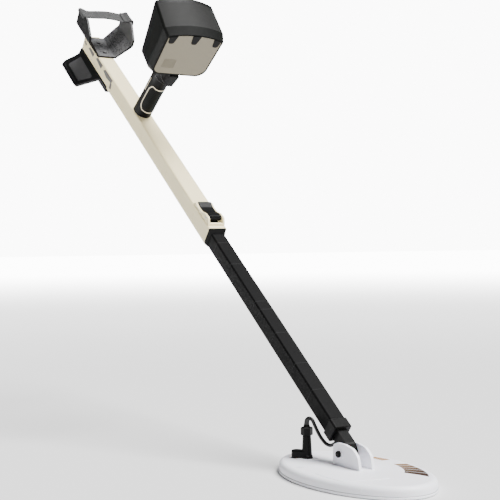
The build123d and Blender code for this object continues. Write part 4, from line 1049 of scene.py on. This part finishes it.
def make_ring(node):
    """The open ring round a button's symbol."""
    centre = button_front(node)
    turns = [radians(RING_START + RING_TURN * step / RING_STEPS) for step in range(RING_STEPS + 1)]
    circle = [centre + (FACE_UP * sin(turn) - LEFT * cos(turn)) * SYMBOL_HALF for turn in turns]
    ring = tubes(f"{node}_ring", [circle], RING_RADIUS, sides=10)
    finish_piece(ring, "trim_beige", node)


make_symbol("power_button", [{"height": 2.0, "upright": True, "half": 1.6}])
make_ring("power_button")
make_symbol("menu_button", [{"height": -1.9}, {}, {"height": 1.9}])
make_symbol("plus_button", [{}, {"upright": True}])
make_symbol("minus_button", [{}])

# ---- Stage and light ----
FLOOR_HALF = 40000
FLOOR_DROP = 0.6
FLOOR_MIDDLE = (-400, 0, 0)
FLOOR_NEAR = (0.70, 0.70, 0.70)
FLOOR_FAR = (0.93, 0.93, 0.93)
FLOOR_PALER = (900.0, 4200.0)  # distances from the floor's middle over which it turns paler
FLOOR_GLOWING = (3500.0, 13000.0)  # and over which it starts to glow
FLOOR_UNEVEN = 200.0  # how much clouds shift those distances
FLOOR_GLOW = 10.0  # how bright the floor is where it meets the surround
SURROUND_WHITE = (0.97, 0.985, 1.0)
WORLD_LIGHT = 0.16  # how much the surround lights the object
WORLD_SHOWN = 13.0  # how bright the surround itself looks
SUN_TOWARDS = Vector((0.42, 0.30, 0.86))
SUN_POWER = 10.5
SUN_SIZE = radians(40)


def make_stage():
    """A wide pale floor, whiter far away and glowing there as painted light, as in a studio sweep.
    """
    corners = [(FLOOR_HALF * a, FLOOR_HALF * b, -FLOOR_DROP)
               for a, b in ((-1, -1), (1, -1), (1, 1), (-1, 1))]
    floor = add_mesh("floor", corners, [(0, 1, 2, 3)], smooth=False)
    finish = Finish("floor", FLOOR_NEAR, 0.9, Specular_IOR_Level=0.1)
    unevenness = finish.math("MULTIPLY", finish.noise(900, 2), FLOOR_UNEVEN)
    away = finish.math("ADD", finish.distance(FLOOR_MIDDLE), unevenness)
    # Painted light: the floor is coloured paler, then made to glow, further from the floor's
    # middle.
    finish.colour(finish.mix(finish.step(away, *FLOOR_PALER), FLOOR_NEAR, FLOOR_FAR))
    glow = finish.math("MULTIPLY", finish.step(away, *FLOOR_GLOWING), FLOOR_GLOW)
    finish.shader.inputs["Emission Color"].default_value = (1, 1, 1, 1)
    finish.tree.links.new(glow, finish.shader.inputs["Emission Strength"])
    floor.data.materials.append(finish.material)


def make_sun():
    """A broad soft light from above, ahead and a little to the left."""
    data = bpy.data.lights.new("sun", "SUN")
    data.energy = SUN_POWER
    data.angle = SUN_SIZE
    light = bpy.data.objects.new("sun", data)
    light.rotation_euler = SUN_TOWARDS.to_track_quat("Z", "Y").to_euler()
    bpy.context.scene.collection.objects.link(light)


def make_world():
    """A white surround that lights the object softly and looks brighter to the camera."""
    world = bpy.data.worlds.new("surround")
    world.use_nodes = True
    tree = world.node_tree
    background = tree.nodes["Background"]
    background.inputs["Color"].default_value = (*SURROUND_WHITE, 1)
    background.inputs["Strength"].default_value = WORLD_LIGHT
    shown = tree.nodes.new("ShaderNodeBackground")
    shown.inputs["Strength"].default_value = WORLD_SHOWN
    rays = tree.nodes.new("ShaderNodeLightPath")
    choice = tree.nodes.new("ShaderNodeMixShader")
    tree.links.new(rays.outputs["Is Camera Ray"], choice.inputs[0])
    tree.links.new(background.outputs[0], choice.inputs[1])
    tree.links.new(shown.outputs[0], choice.inputs[2])
    tree.links.new(choice.outputs[0], tree.nodes["World Output"].inputs["Surface"])
    bpy.context.scene.world = world


make_stage()
make_world()
make_sun()
